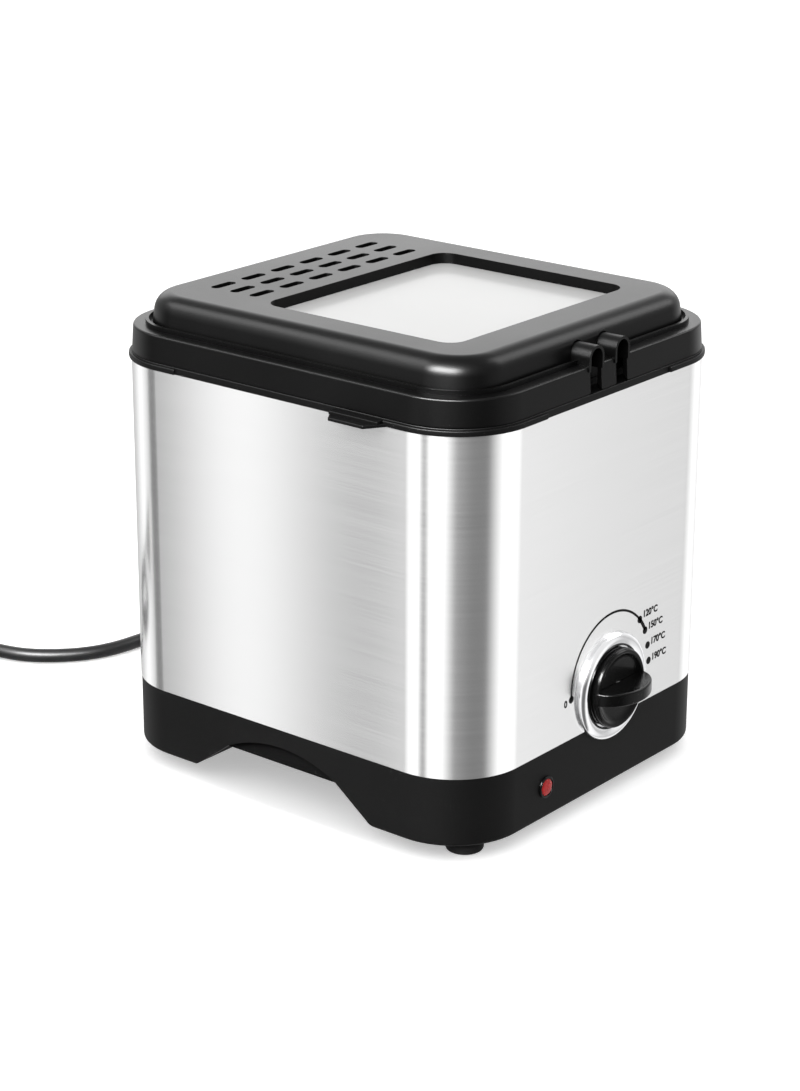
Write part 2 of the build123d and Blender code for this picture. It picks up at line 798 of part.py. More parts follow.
plug_face_x = plug_start_x - plug_boot - plug_body
with BuildPart() as mains_plug:
    with BuildSketch(Plane((plug_start_x, plug_y, plug_radius))):
        with BuildLine():
            Polyline(
                (0, 0),
                (0, cord_radius + 1.2),
                (-plug_boot, cord_radius + 3.0),
                (-plug_boot, plug_radius - 7.0),
                (-plug_boot - 6.0, plug_radius - 5.0),
                (-plug_boot - plug_body + 17.0, plug_radius - 2.6),
                (-plug_boot - plug_body + 15.0, plug_radius),
                (-plug_boot - plug_body, plug_radius),
                (-plug_boot - plug_body, 0),
                close=True,
            )
        make_face()
    revolve(axis=Axis((plug_start_x, plug_y, plug_radius), (1, 0, 0)))
    fillet(mains_plug.faces().sort_by(Axis.X)[0].edges(), radius=1.5)
    with BuildSketch(Plane((plug_face_x, plug_y, plug_radius), x_dir=(0, 1, 0), z_dir=(-1, 0, 0))):
        with Locations((0, -plug_radius), (0, plug_radius)):
            Rectangle(6.0, 4.0)
    extrude(amount=-14.0, mode=Mode.SUBTRACT)
finish(mains_plug.part, "mains_plug")

with BuildPart() as plug_pins:
    with BuildSketch(Plane((plug_face_x, plug_y, plug_radius), x_dir=(0, 1, 0), z_dir=(-1, 0, 0))):
        with Locations((-pin_spacing / 2, 0), (pin_spacing / 2, 0)):
            Circle(pin_radius)
    extrude(amount=pin_length)
    fillet(plug_pins.faces().group_by(Axis.X)[0].edges(), radius=1.2)
finish(plug_pins.part, "plug_pins")

# ---------------------------------------------------------------- lid frame: skirt, ledge, tunnels
seal_top = skirt_bottom + lid_seal_height
pad_reach = (corner_radius - ledge_reach - lid_pad_radius + lid_pad_overlap) * cos(radians(45))
lid_screw_x = width / 2 - corner_radius + pad_reach
lid_screw_y = depth / 2 - corner_radius + pad_reach
tunnel_places = [(-tunnel_spacing / 2, 0), (tunnel_spacing / 2, 0)]
slot_half = tunnel_radius - tunnel_wall
spring_z = ledge_top + tunnel_spring


def tunnel_profile(radius, foot):
    """Upright slot with a round top, from a foot height up to the tunnel's crown."""
    for place_x, _ in tunnel_places:
        with Locations((place_x, (spring_z + foot) / 2)):
            Rectangle(2 * radius, spring_z - foot)
        with Locations((place_x, spring_z)):
            Circle(radius)


with BuildPart() as lid_frame:
    with BuildSketch(level(skirt_bottom)):
        outline(skirt_inset)
    extrude(amount=skirt_height, taper=skirt_draft)
    fillet(lid_frame.faces().sort_by(Axis.Z)[-1].edges(), radius=1.0)
    with BuildSketch(level(skirt_bottom)):
        outline(skirt_inset + lid_wall)
    extrude(amount=skirt_height - ledge_thickness, mode=Mode.SUBTRACT)
    with BuildSketch(level(skirt_bottom)):
        outline(ledge_reach)
    extrude(amount=skirt_height, mode=Mode.SUBTRACT)
    band(ledge_top, ledge_top + shoulder_height, shoulder_inset, shoulder_inset + shoulder_wall)
    band(seal_top, ledge_top - ledge_thickness, rib_inset, rib_inset + rib_wall)
    with BuildSketch(level(ledge_top - ledge_thickness)):
        with Locations(corners(lid_screw_x, lid_screw_y)):
            Circle(lid_pad_radius)
    extrude(amount=ledge_thickness)
    with BuildSketch(level(ledge_top - ledge_thickness)):
        with Locations(corners(lid_screw_x, lid_screw_y)):
            Circle(lid_screw_radius + running_gap)
    extrude(amount=ledge_thickness, mode=Mode.SUBTRACT)
    with BuildSketch(front_plane(-skirt_inset)):
        tunnel_profile(tunnel_radius, ledge_top - ledge_thickness)
    extrude(amount=-(tunnel_reach - skirt_inset))
    with BuildSketch(front_plane(0)):
        tunnel_profile(slot_half, skirt_bottom - 1.0)
    extrude(amount=-(tunnel_reach - tunnel_wall), mode=Mode.SUBTRACT)
    fillet(
        lid_frame.edges().filter_by(Axis.Y).group_by(Axis.Z)[0],
        radius=1.2,
    )
finish(lid_frame.part, "lid_frame")

with BuildPart() as lid_seal:
    band(collar_top + running_gap, seal_top, rib_inset - 0.5, rib_inset + rib_wall + 0.5)
    with BuildSketch(front_plane(0)):
        tunnel_profile(slot_half, skirt_bottom - 1.0)
    extrude(amount=-(tunnel_reach - tunnel_wall), mode=Mode.SUBTRACT)
finish(lid_seal.part, "lid_seal")

# ---------------------------------------------------------------- lid cover: dome, window well, vents
vent_offset_y = depth / 2 - vent_rear_margin
window_width = width - 2 * window_side_margin
window_depth = depth - window_front_margin - window_rear_margin
window_offset_y = (window_front_margin - window_rear_margin) / 2
pane_top = lid_top - window_recess
cover_underside = lid_top - dome_wall


def dome_solid(inset, height, rounding):
    """A draughted block on the plan outline with its top edge rounded over."""
    with BuildSketch(level(ledge_top)) as dome_plan:
        outline(inset)
    extrude(dome_plan.sketch, amount=height, taper=dome_draft)
    fillet(faces().sort_by(Axis.Z)[-1].edges(), radius=rounding)


with BuildPart() as dome_space:
    dome_solid(dome_inset + dome_wall, dome_height - dome_wall, dome_round - dome_wall)

with BuildPart() as lid_cover:
    dome_solid(dome_inset, dome_height, dome_round)
    add(dome_space.part, mode=Mode.SUBTRACT)
    with BuildSketch(level(pane_top)):
        with Locations((0, window_offset_y)):
            RectangleRounded(
                window_width + 2 * dome_wall, window_depth + 2 * dome_wall, window_corner + dome_wall
            )
    extrude(amount=lid_top - pane_top - dome_wall / 2)
    with BuildSketch(level(ledge_top)):
        with Locations((0, window_offset_y)):
            RectangleRounded(window_width, window_depth, window_corner)
    extrude(amount=dome_height, mode=Mode.SUBTRACT)
    with BuildSketch(level(cover_underside)):
        with Locations((0, vent_offset_y)):
            with GridLocations(vent_pitch_x, vent_pitch_y, vent_columns, vent_rows):
                RectangleRounded(vent_length, vent_width, vent_width * 0.42)
    extrude(amount=dome_wall, mode=Mode.SUBTRACT)
    with BuildSketch(level(ledge_top)):
        with Locations(corners(lid_screw_x, lid_screw_y)):
            Circle(lid_boss_radius)
    extrude(amount=dome_height - dome_wall)
    with BuildSketch(level(ledge_top)):
        with Locations(corners(lid_screw_x, lid_screw_y)):
            Circle(lid_screw_radius)
    extrude(amount=dome_height - 2 * dome_wall, mode=Mode.SUBTRACT)
    with BuildSketch(front_plane(0)):
        tunnel_profile(tunnel_radius + fit_gap, ledge_top)
    extrude(amount=-tunnel_reach - fit_gap, mode=Mode.SUBTRACT)
finish(lid_cover.part, "lid_cover")

pane_width = window_width + 2 * pane_lap
pane_depth = window_depth + 2 * pane_lap
pane_corner = window_corner + pane_lap
pane_bottom = pane_top - pane_thickness
with BuildPart() as window_pane:
    with BuildSketch(level(pane_bottom)):
        with Locations((0, window_offset_y)):
            RectangleRounded(pane_width, pane_depth, pane_corner)
    extrude(amount=pane_thickness)
finish(window_pane.part, "window_pane")

liner_sheet = 0.8
liner_top = ledge_top + liner_sheet
with BuildPart() as window_seal:
    with BuildSketch(level(liner_top)):
        with Locations((0, window_offset_y)):
            RectangleRounded(pane_width + 2 * seal_wall, pane_depth + 2 * seal_wall, pane_corner + seal_wall)
            RectangleRounded(window_width - 2 * pane_lap, window_depth - 2 * pane_lap, window_corner, mode=Mode.SUBTRACT)
    extrude(amount=pane_top - liner_top)
    with BuildSketch(level(pane_bottom)):
        with Locations((0, window_offset_y)):
            RectangleRounded(pane_width, pane_depth, pane_corner)
    extrude(amount=pane_thickness, mode=Mode.SUBTRACT)
finish(window_seal.part, "window_seal")

with BuildPart() as lid_liner:
    with BuildSketch(level(ledge_top)):
        outline(dome_inset + dome_wall + 0.5)
        with Locations((0, window_offset_y)):
            RectangleRounded(window_width - 2 * pane_lap, window_depth - 2 * pane_lap, window_corner, mode=Mode.SUBTRACT)
        with Locations(corners(lid_screw_x, lid_screw_y)):
            Circle(lid_boss_radius + fit_gap, mode=Mode.SUBTRACT)
        with Locations((0, vent_offset_y)):
            with GridLocations(vent_pitch_x, vent_pitch_y, vent_columns, vent_rows):
                RectangleRounded(vent_length, vent_width, vent_width * 0.42, mode=Mode.SUBTRACT)
    extrude(amount=liner_sheet)
finish(lid_liner.part, "lid_liner")

filter_height = 6.0
filter_width = vent_columns * vent_pitch_x + 2.0
filter_depth = vent_rows * vent_pitch_y + 2.0
filter_y = vent_offset_y + 2.0
with BuildPart() as grease_filter:
    with BuildSketch(level(liner_top)):
        with Locations((0, filter_y)):
            RectangleRounded(filter_width, filter_depth, 6.0)
    extrude(amount=filter_height)
finish(grease_filter.part, "grease_filter")

lid_screw_head = 2.0
with BuildPart() as lid_screws:
    with BuildSketch(level(ledge_top - ledge_thickness - lid_screw_head)):
        with Locations(corners(lid_screw_x, lid_screw_y)):
            Circle(2.1 * lid_screw_radius)
    extrude(amount=lid_screw_head)
    fillet(lid_screws.faces().group_by(Axis.Z)[0].edges(), radius=0.5)
    with BuildSketch(level(ledge_top - ledge_thickness)):
        with Locations(corners(lid_screw_x, lid_screw_y)):
            Circle(lid_screw_radius - running_gap)
    extrude(amount=ledge_thickness + 8.0)
finish(lid_screws.part, "lid_screws")

# ---------------------------------------------------------------- basket and its handle
basket_width = pot_width - 2 * pot_wall - 2 * basket_gap
basket_length = pot_length - 2 * pot_wall - 2 * basket_gap
basket_corner = pot_corner - pot_wall - 3.0
basket_bottom = pot_bottom + pot_wall + basket_lift_off
basket_top = basket_bottom + basket_height
rim_z = basket_top + rim_wire_radius + element_gap
hinge_z = rim_z + 4.0
hinge_y = body_y - basket_length / 2 + 5.0

with BuildPart() as basket:
    with BuildSketch(level(basket_bottom)):
        RectangleRounded(basket_width, basket_length, basket_corner)
    extrude(amount=basket_height)
    fillet(basket.faces().sort_by(Axis.Z)[0].edges(), radius=8.0)
    offset(amount=-basket_wall, openings=basket.faces().sort_by(Axis.Z)[-1])
finish(basket.part, "basket")

rim_half_x = (basket_width - basket_wall) / 2
rim_half_y = (basket_length - basket_wall) / 2
with BuildPart() as basket_rim:
    with BuildLine(level(rim_z)) as rim_line:
        FilletPolyline(
            (-rim_half_x, -rim_half_y),
            (rim_half_x, -rim_half_y),
            (rim_half_x, rim_half_y),
            (-rim_half_x, rim_half_y),
            radius=basket_corner - basket_wall / 2,
            close=True,
        )
    with BuildSketch(Plane(rim_line.line @ 0, z_dir=rim_line.line % 0)):
        Circle(rim_wire_radius)
    sweep(path=rim_line.line)
finish(basket_rim.part, "basket_rim")

hook_sheet = 1.5
hook_offset = rim_half_y + rim_wire_radius + running_gap
front_hook_y = body_y - hook_offset
hook_reach = (pot_flange_inset + 1.7, pot_inset + 1.0)
hook_z = collar_top + running_gap
plate_width = 40.0
plate_drop = 20.0
hook_half = 5.0
ear_inner = handle_spacing / 2 + handle_wire_radius + 1.2
with BuildPart() as front_hook:
    # plate against the basket's front, below the wires
    with BuildSketch(Plane((0, front_hook_y, 0), x_dir=(1, 0, 0), z_dir=(0, -1, 0))):
        with Locations((0, basket_top - plate_drop / 2)):
            Rectangle(plate_width, plate_drop)
        with Locations((0, (basket_top + hook_z + hook_sheet) / 2)):
            Rectangle(2 * hook_half, hook_z + hook_sheet - basket_top)
        for side in (-1, 1):
            with Locations((side * (ear_inner + ear_thickness / 2), (basket_top + hinge_z) / 2 + 1.5)):
                Rectangle(ear_thickness, hinge_z - basket_top + 3.0)
    extrude(amount=hook_sheet)
    # tongue that rests over the pot's rim
    with BuildSketch(Plane((0, front_hook_y, hook_z))):
        with Locations((0, -(front_hook_y - (front_y + hook_reach[0])) / 2)):
            Rectangle(2 * hook_half, front_hook_y - (front_y + hook_reach[0]))
    extrude(amount=hook_sheet)
    # two ears over the rim wire, which carry the handle's pins
    for side in (-1, 1):
        with BuildSketch(Plane((side * (ear_inner + ear_thickness / 2), 0, 0), x_dir=(0, 1, 0), z_dir=(1, 0, 0))):
            with Locations(((front_hook_y - hook_sheet + hinge_y) / 2, (rim_z + rim_wire_radius + 0.4 + hinge_z + 3.0) / 2)):
                Rectangle(hinge_y - front_hook_y + hook_sheet, hinge_z + 3.0 - rim_z - rim_wire_radius - 0.4)
            with Locations((hinge_y, hinge_z)):
                Circle(hinge_z - rim_z - rim_wire_radius - 0.4 + 1.6)
                Circle(handle_wire_radius + running_gap, mode=Mode.SUBTRACT)
        extrude(amount=ear_thickness / 2, both=True)
finish(front_hook.part, "front_hook")

rear_hook_y = body_y + hook_offset
rear_half = 8.0
with BuildPart() as rear_hook:
    with BuildSketch(Plane((0, rear_hook_y, 0), x_dir=(-1, 0, 0), z_dir=(0, 1, 0))):
        with Locations((0, (basket_top - plate_drop + hook_z + hook_sheet) / 2)):
            Rectangle(2 * rear_half, hook_z + hook_sheet - basket_top + plate_drop)
    extrude(amount=hook_sheet)
    with BuildSketch(Plane((0, rear_hook_y, hook_z))):
        with Locations((0, (back_y - hook_reach[0] - rear_hook_y) / 2)):
            Rectangle(2 * rear_half, back_y - hook_reach[0] - rear_hook_y)
    extrude(amount=hook_sheet)
finish(rear_hook.part, "rear_hook")

grip_start = handle_length - grip_length
pin_reach = ear_inner + ear_thickness + 1.0
with BuildPart() as handle_wires:
    for side in (-1, 1):
        with BuildSketch(Plane((side * handle_spacing / 2, hinge_y, hinge_z), x_dir=(1, 0, 0), z_dir=(0, 1, 0))):
            Circle(handle_wire_radius)
        extrude(amount=grip_start + 12.0)
        with BuildSketch(Plane((side * (handle_spacing / 2 - handle_wire_radius), hinge_y, hinge_z), x_dir=(0, 1, 0), z_dir=(side, 0, 0))):
            Circle(handle_wire_radius)
        extrude(amount=pin_reach - handle_spacing / 2 + handle_wire_radius)
finish(handle_wires.part, "handle_wires")

with BuildPart() as handle_grip:
    with BuildSketch(Plane((0, hinge_y + grip_start, hinge_z), x_dir=(1, 0, 0), z_dir=(0, 1, 0))):
        RectangleRounded(grip_width, grip_thickness, 4.0)
    extrude(amount=grip_length)
    fillet(handle_grip.faces().sort_by(Axis.Y)[-1].edges(), radius=3.0)
    with BuildSketch(Plane((0, hinge_y + grip_start, hinge_z), x_dir=(1, 0, 0), z_dir=(0, 1, 0))):
        with Locations((-handle_spacing / 2, 0), (handle_spacing / 2, 0)):
            Circle(handle_wire_radius)
    extrude(amount=12.0, mode=Mode.SUBTRACT)
finish(handle_grip.part, "handle_grip")
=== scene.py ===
import bmesh
import bpy
from math import cos, pi, radians, sin, tau
from mathutils import Matrix, Vector


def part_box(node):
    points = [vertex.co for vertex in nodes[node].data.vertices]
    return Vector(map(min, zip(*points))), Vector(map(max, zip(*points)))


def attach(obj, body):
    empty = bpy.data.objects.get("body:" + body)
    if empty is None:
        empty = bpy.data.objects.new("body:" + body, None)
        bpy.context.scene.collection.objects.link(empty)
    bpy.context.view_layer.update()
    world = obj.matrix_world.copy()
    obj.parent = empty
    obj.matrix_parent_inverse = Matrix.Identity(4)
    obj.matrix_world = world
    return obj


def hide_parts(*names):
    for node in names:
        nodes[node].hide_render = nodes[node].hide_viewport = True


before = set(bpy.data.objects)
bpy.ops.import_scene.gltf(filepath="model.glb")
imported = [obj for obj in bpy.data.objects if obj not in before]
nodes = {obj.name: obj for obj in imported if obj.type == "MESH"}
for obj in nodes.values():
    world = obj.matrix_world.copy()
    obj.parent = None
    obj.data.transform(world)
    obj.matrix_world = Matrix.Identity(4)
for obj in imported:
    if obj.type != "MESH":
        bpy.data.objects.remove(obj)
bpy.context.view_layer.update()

mm = 0.001

# ---- Camera
# A product camera on a long lens, a little above the lid and off the dial's left shoulder.
camera_data = bpy.data.cameras.new("camera")
camera_data.sensor_width = 36.0
camera_data.lens = 90.57
camera = bpy.data.objects.new("camera", camera_data)
camera.location = (-0.9201, -0.72885, 0.5187)
aim = Vector((-0.039, -0.01375, 0.1135)) - camera.location
tilt = Matrix.Rotation(radians(0.18), 3, "Z").to_quaternion()
camera.rotation_mode = "QUATERNION"
camera.rotation_quaternion = aim.to_track_quat("-Z", "Y") @ tilt
bpy.context.scene.collection.objects.link(camera)
bpy.context.scene.camera = camera

# ---- Mains cord
# A short safety lead with a round black sheath. It leaves the base's rear wall through a
# moulded strain relief, lies on the table and is put away in a tied coil, its plug beside it.


class Signal:
    """One output in a finish's node tree; arithmetic on it adds Math nodes."""

    def __init__(self, finish, socket):
        self.finish = finish
        self.socket = socket

    def math(self, operation, first, second):
        return self.finish.node("ShaderNodeMath", {"operation": operation}, {0: first, 1: second})

    def __add__(self, other):
        return self.math("ADD", self, other)

    def __radd__(self, other):
        return self.math("ADD", other, self)

    def __mul__(self, other):
        return self.math("MULTIPLY", self, other)

    def __rmul__(self, other):
        return self.math("MULTIPLY", other, self)


class Finish:
    """A material in the making, on Object coordinates in metres."""

    def __init__(self, name, **constants):
        self.material = bpy.data.materials.new(name)
        self.material.use_nodes = True
        self.tree = self.material.node_tree
        self.shader = self.tree.nodes["Principled BSDF"]
        self.set(**constants)

    def node(self, kind, settings=None, values=None, out=0):
        made = self.tree.nodes.new(kind)
        for name, value in (settings or {}).items():
            if name == "stops":
                ramp = made.color_ramp
                while len(ramp.elements) < len(value):
                    ramp.elements.new(0.5)
                for element, (place, shade) in zip(ramp.elements, value):
                    element.position = place
                    element.color = (shade, shade, shade, 1)
            else:
                setattr(made, name, value)
        for name, value in (values or {}).items():
            self.feed(made.inputs[name], value)
        return Signal(self, made.outputs[out])

    def feed(self, socket, value):
        if isinstance(value, Signal):
            self.tree.links.new(value.socket, socket)
        elif socket.type == "RGBA" and len(value) == 3:
            socket.default_value = (*value, 1)
        else:
            socket.default_value = value

    def set(self, **inputs):
        for name, value in inputs.items():
            self.feed(self.shader.inputs[name.replace("_", " ")], value)
        return self

    def place(self, stretch=(1, 1, 1)):
        where = self.node("ShaderNodeTexCoord", out="Object")
        return self.node("ShaderNodeMapping", None, {"Vector": where, "Scale": stretch})

    def noise(self, scale, detail=2.0, rough=0.5, stretch=(1, 1, 1)):
        return self.node(
            "ShaderNodeTexNoise", None,
            {"Vector": self.place(stretch), "Scale": scale, "Detail": detail, "Roughness": rough},
        )

    def cells(self, scale):
        return self.node("ShaderNodeTexVoronoi", None, {"Vector": self.place(), "Scale": scale})

    def ramp(self, value, *stops):
        return self.node("ShaderNodeValToRGB", {"stops": stops}, {"Fac": value})

    def tint(self, factor, first, second):
        return self.node("ShaderNodeMix", {"data_type": "RGBA"}, {0: factor, 6: first, 7: second}, out=2)

    def bump(self, height, distance, strength=1.0):
        relief = self.node(
            "ShaderNodeBump", None, {"Height": height, "Distance": distance, "Strength": strength}
        )
        return self.set(Normal=relief)


cord_size = 6.8 * mm
lie = 3.5
route = [
    (45.0, 134.15, 20.0), (45.0, 152.15, 20.0), (40.0, 174.15, 6.5), (18.0, 191.15, lie),
    (-20.0, 194.15, lie), (-45.0, 216.65, lie), (-51.6, 240.15, lie), (-51.6, 260.05, lie),
]
coil_x, coil_y = -93.0, 288.05
coil_turns, per_turn = 3.25, 16
# A smooth curve lies a little inside its ring of control points.
curve_share = 0.981
inner_turn, outer_turn = 34.6 / curve_share, 41.4 / curve_share
high_lie = 10.4


def eased(turn, start, end):
    """Runs smoothly from 0 to 1 between two places on the coil, counted in turns."""
    share = min(max((turn - start) / (end - start), 0.0), 1.0)
    return share * share * (3 - 2 * share)


for step in range(int(per_turn * coil_turns) + 1):
    turn = step / per_turn
    reach = outer_turn + (inner_turn - outer_turn) * (eased(turn, 0.8, 1.0) - eased(turn, 2.74, 2.95))
    lift = lie + (high_lie - lie) * eased(turn, 1.83, 1.99)
    route.append((coil_x + reach * cos(tau * turn), coil_y + reach * sin(tau * turn), lift))
route += [(-107.0, 329.45, high_lie), (-121.0, 329.45, 15.6), (-131.0, 329.45, 18.5), (-137.0, 329.45, 18.5)]

cord_curve = bpy.data.curves.new("mains_cord", "CURVE")
cord_curve.dimensions = "3D"
cord_curve.bevel_depth = cord_size / 2
cord_curve.bevel_resolution = 6
cord_curve.use_fill_caps = True
spline = cord_curve.splines.new("NURBS")
spline.points.add(len(route) - 1)
for point, place in zip(spline.points, route):
    point.co = (*(Vector(place) * mm), 1.0)
spline.order_u = 3
spline.use_endpoint_u = True
spline.resolution_u = 8
cord = bpy.data.objects.new("mains_cord", cord_curve)
bpy.context.scene.collection.objects.link(cord)

sheath = Finish("cord_sheath", Specular_IOR_Level=0.15)
sheath_grain = sheath.noise(900, 3.0)
sheath.set(
    Base_Color=sheath.tint(sheath.noise(60, 2.0), (0.006, 0.006, 0.006), (0.014, 0.014, 0.015)),
    Roughness=0.34 + 0.16 * sheath_grain,
)
sheath.bump(sheath_grain, 0.00005, 0.4)
cord_curve.materials.append(sheath.material)
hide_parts("power_cord", "cord_coil")
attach(cord, "fryer_body")

# ---- Strain relief
# A moulded rubber sleeve, flanged against the base's rear wall and ribbed so that it bends
# evenly. It is pressed on the cord and held in the wall's hole by its flange.
steel_box = [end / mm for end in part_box("housing")]
back_y = steel_box[1].y


def turned(bm, section, centre, axis, side, steps=64, closed=False):
    """Turns a section, given as distances out from and along an axis, all the way round."""
    before = set(bm.verts)
    centre, axis, side = Vector(centre), Vector(axis), Vector(side)
    line = [bm.verts.new(centre + side * out + axis * along) for out, along in section]
    pairs = list(zip(line, line[1:])) + ([(line[-1], line[0])] if closed else [])
    edges = [bm.edges.new(pair) for pair in pairs]
    bmesh.ops.spin(
        bm, geom=line + edges, cent=centre, axis=axis, angle=tau, steps=steps, use_merge=True
    )
    fresh = [vert for vert in bm.verts if vert not in before]
    bmesh.ops.remove_doubles(bm, verts=fresh, dist=0.0005)


def finished(bm, name, finish, body, slot, *stands_for, soften=0.0, rounds=2, crease=40):
    """Puts a piece drawn in millimetres in its place on its body, for the plain parts it replaces."""
    bmesh.ops.remove_doubles(bm, verts=bm.verts, dist=0.0005)
    bmesh.ops.recalc_face_normals(bm, faces=bm.faces)
    bmesh.ops.scale(bm, vec=(mm, mm, mm), verts=bm.verts)
    for face in bm.faces:
        face.smooth = True
    if not soften:
        for edge in bm.edges:
            edge.smooth = edge.calc_face_angle(0) < radians(crease)
    mesh = bpy.data.meshes.new(name)
    bm.to_mesh(mesh)
    bm.free()
    mesh.materials.append(finish.material)
    piece = bpy.data.objects.new(name, mesh)
    bpy.context.scene.collection.objects.link(piece)
    if soften:
        bevel = piece.modifiers.new("softened_edges", "BEVEL")
        bevel.width = soften * mm
        bevel.segments = rounds
        bevel.limit_method = "ANGLE"
        bevel.angle_limit = radians(crease)
        bevel.miter_outer = "MITER_ARC"
    shading = piece.modifiers.new("even_shading", "WEIGHTED_NORMAL")
    shading.keep_sharp = True
    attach(piece, body)
    if stands_for:
        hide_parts(*stands_for)
    return piece


bm = bmesh.new()
relief_section = [(3.45, -5.0), (6.0, -5.0), (6.0, 0.0), (8.5, 0.0), (8.5, 1.4), (7.9, 2.0), (6.1, 2.4)]
first_rib, rib_pitch, rib_taper = 3.6, 3.4, 0.105
for rib in range(5):
    start = first_rib + rib * rib_pitch
    thick = 6.1 - (start - first_rib) * rib_taper
    relief_section += [
        (thick, start), (thick - 0.1, start + 2.0), (thick - 1.0, start + 2.2), (thick - 1.0, start + 3.2),
    ]
relief_section += [(4.4, 20.8), (4.1, 21.9), (3.45, 22.0)]
turned(bm, relief_section, (45, back_y, 20), (0, 1, 0), (1, 0, 0), closed=True)
finished(bm, "strain_relief", sheath, "fryer_body", "black_rubber", "cord_gland", soften=0.25)

# ---- Plug and tie
# A two-pin plug moulded on the cord in black rubber, with grip grooves and earth strips let
# into its sides, and the hook-and-loop band round the coil.
plug_x, plug_y, plug_z = -137.0, 329.45, 18.5
front_y = steel_box[0].y
body_y = (front_y + back_y) / 2


def slab(bm, size, centre):
    """A square-edged block; gives back its corners."""
    made = bmesh.ops.create_cube(bm, size=1.0)
    bmesh.ops.scale(bm, vec=size, verts=made["verts"])
    bmesh.ops.translate(bm, vec=centre, verts=made["verts"])
    return made["verts"]


def rounded(bm, geom, radius, segments, affect="EDGES"):
    """Rounds edges, or the corners of an outline."""
    bmesh.ops.bevel(
        bm, geom=geom, affect=affect, offset=radius, segments=segments, profile=0.5, material=-1
    )


def extent(edge, axis):
    """How far an edge runs along an axis."""
    return abs(edge.verts[0].co[axis] - edge.verts[1].co[axis])


def block(bm, size, corner_round, low, high, x=0.0, y=body_y, segments=14):
    """A block with rounded upright edges; gives back its top and bottom faces."""
    before = set(bm.faces)
    corners = slab(bm, (size[0], size[1], high - low), (x, y, (low + high) / 2))
    if corner_round:
        upright = [
            edge for edge in bm.edges
            if edge.verts[0] in corners and extent(edge, 2) > (high - low) / 2
        ]
        rounded(bm, upright, corner_round, segments)
    bm.normal_update()
    fresh = [face for face in bm.faces if face not in before]
    return (
        max(fresh, key=lambda face: face.calc_center_median().z),
        min(fresh, key=lambda face: face.calc_center_median().z),
    )


def carve(bm, tool, operation="DIFFERENCE"):
    """Cuts one shape out of another, as a mould's core does, or joins the two."""
    meshes = [bpy.data.meshes.new("carved"), bpy.data.meshes.new("tool")]
    for shape, mesh in zip((bm, tool), meshes):
        bmesh.ops.recalc_face_normals(shape, faces=shape.faces)
        shape.to_mesh(mesh)
    objects = [bpy.data.objects.new(mesh.name, mesh) for mesh in meshes]
    for item in objects:
        bpy.context.scene.collection.objects.link(item)
    cut = objects[0].modifiers.new("cut", "BOOLEAN")
    cut.operation = operation
    cut.solver = "EXACT"
    cut.object = objects[1]
    bpy.context.view_layer.update()
    result = bpy.data.meshes.new_from_object(
        objects[0].evaluated_get(bpy.context.evaluated_depsgraph_get())
    )
    bm.clear()
    bm.from_mesh(result)
    tool.free()
    for item in objects:
        bpy.data.objects.remove(item)
    for mesh in (*meshes, result):
        bpy.data.meshes.remove(mesh)
    bmesh.ops.remove_doubles(bm, verts=bm.verts, dist=0.002)
    bmesh.ops.dissolve_degenerate(bm, edges=bm.edges, dist=0.002)


bm = bmesh.new()
plug_section = [(0.0, 0.0), (4.4, 0.0), (4.9, 2.0)]
for groove in range(4):
    start = 3.0 + groove * 3.0
    swell = start * 0.06
    plug_section += [(5.0 + swell, start), (4.2, start + 0.5), (4.2, start + 1.3), (5.2 + swell, start + 1.8)]
plug_section += [
    (6.6, 16.0), (9.5, 16.4), (11.5, 17.8), (12.6, 21.0), (13.6, 27.0), (15.4, 32.0), (18.2, 35.0),
    (18.5, 36.0), (18.5, 48.6), (17.4, 50.0), (0.0, 50.0),
]
turned(bm, plug_section, (plug_x, plug_y, plug_z), (-1, 0, 0), (0, 1, 0))
side_slots = bmesh.new()
for side in (-1, 1):
    middle = plug_z + side * 17.8
    block(side_slots, (15.0, 5.6), 0.0, middle - 2.2, middle + 2.2, x=plug_x - 44.0, y=plug_y)
carve(bm, side_slots)
plug = finished(bm, "moulded_plug", sheath, "fryer_body", "black_rubber", "mains_plug", soften=0.35)

nickel = Finish("nickel_plate", Metallic=1.0)
nickel_marks = nickel.noise(700, 3.0, stretch=(0.2, 1, 1))
nickel.set(
    Base_Color=nickel.tint(nickel.noise(90), (0.62, 0.6, 0.56), (0.74, 0.72, 0.68)),
    Roughness=0.16 + 0.14 * nickel_marks,
)
nickel.bump(nickel_marks, 0.00002, 0.4)


def coat(finish, *names):
    """Gives carried-over parts their finish."""
    for name in names:
        slots = nodes[name].data.materials
        slots.clear()
        slots.append(finish.material)


coat(nickel, "plug_pins")

bm = bmesh.new()
for side in (-1, 1):
    middle = plug_z + side * 15.9
    block(bm, (13.6, 4.6), 0.6, middle - 0.4, middle + 0.4, x=plug_x - 44.2, y=plug_y, segments=3)
strips = finished(bm, "earth_strips", nickel, "fryer_body", "pin_metal", soften=0.2)

band = Finish("tie_fabric", Specular_IOR_Level=0.2)
loops = band.cells(1500)
band.set(
    Base_Color=band.tint(loops, (0.004, 0.004, 0.004), (0.02, 0.02, 0.021)),
    Roughness=0.8 + 0.1 * band.noise(500),
)
band.bump(loops, 0.0002, 0.8)
bm = bmesh.new()
tie_y = coil_y - 38.0
slab(bm, (10.0, 17.6, 15.2), (coil_x, tie_y, 7.75))
rounded(bm, [edge for edge in bm.edges if extent(edge, 0) > 5], 4.2, 6)
bmesh.ops.delete(bm, geom=[face for face in bm.faces if abs(face.normal.x) > 0.9], context="FACES_ONLY")
bmesh.ops.solidify(bm, geom=bm.faces, thickness=0.9)
block(bm, (9.4, 8.0), 1.5, 15.3, 16.1, x=coil_x, y=tie_y + 1.5, segments=4)
tie = finished(bm, "coil_band", band, "fryer_body", "black_rubber", "coil_tie", soften=0.15)

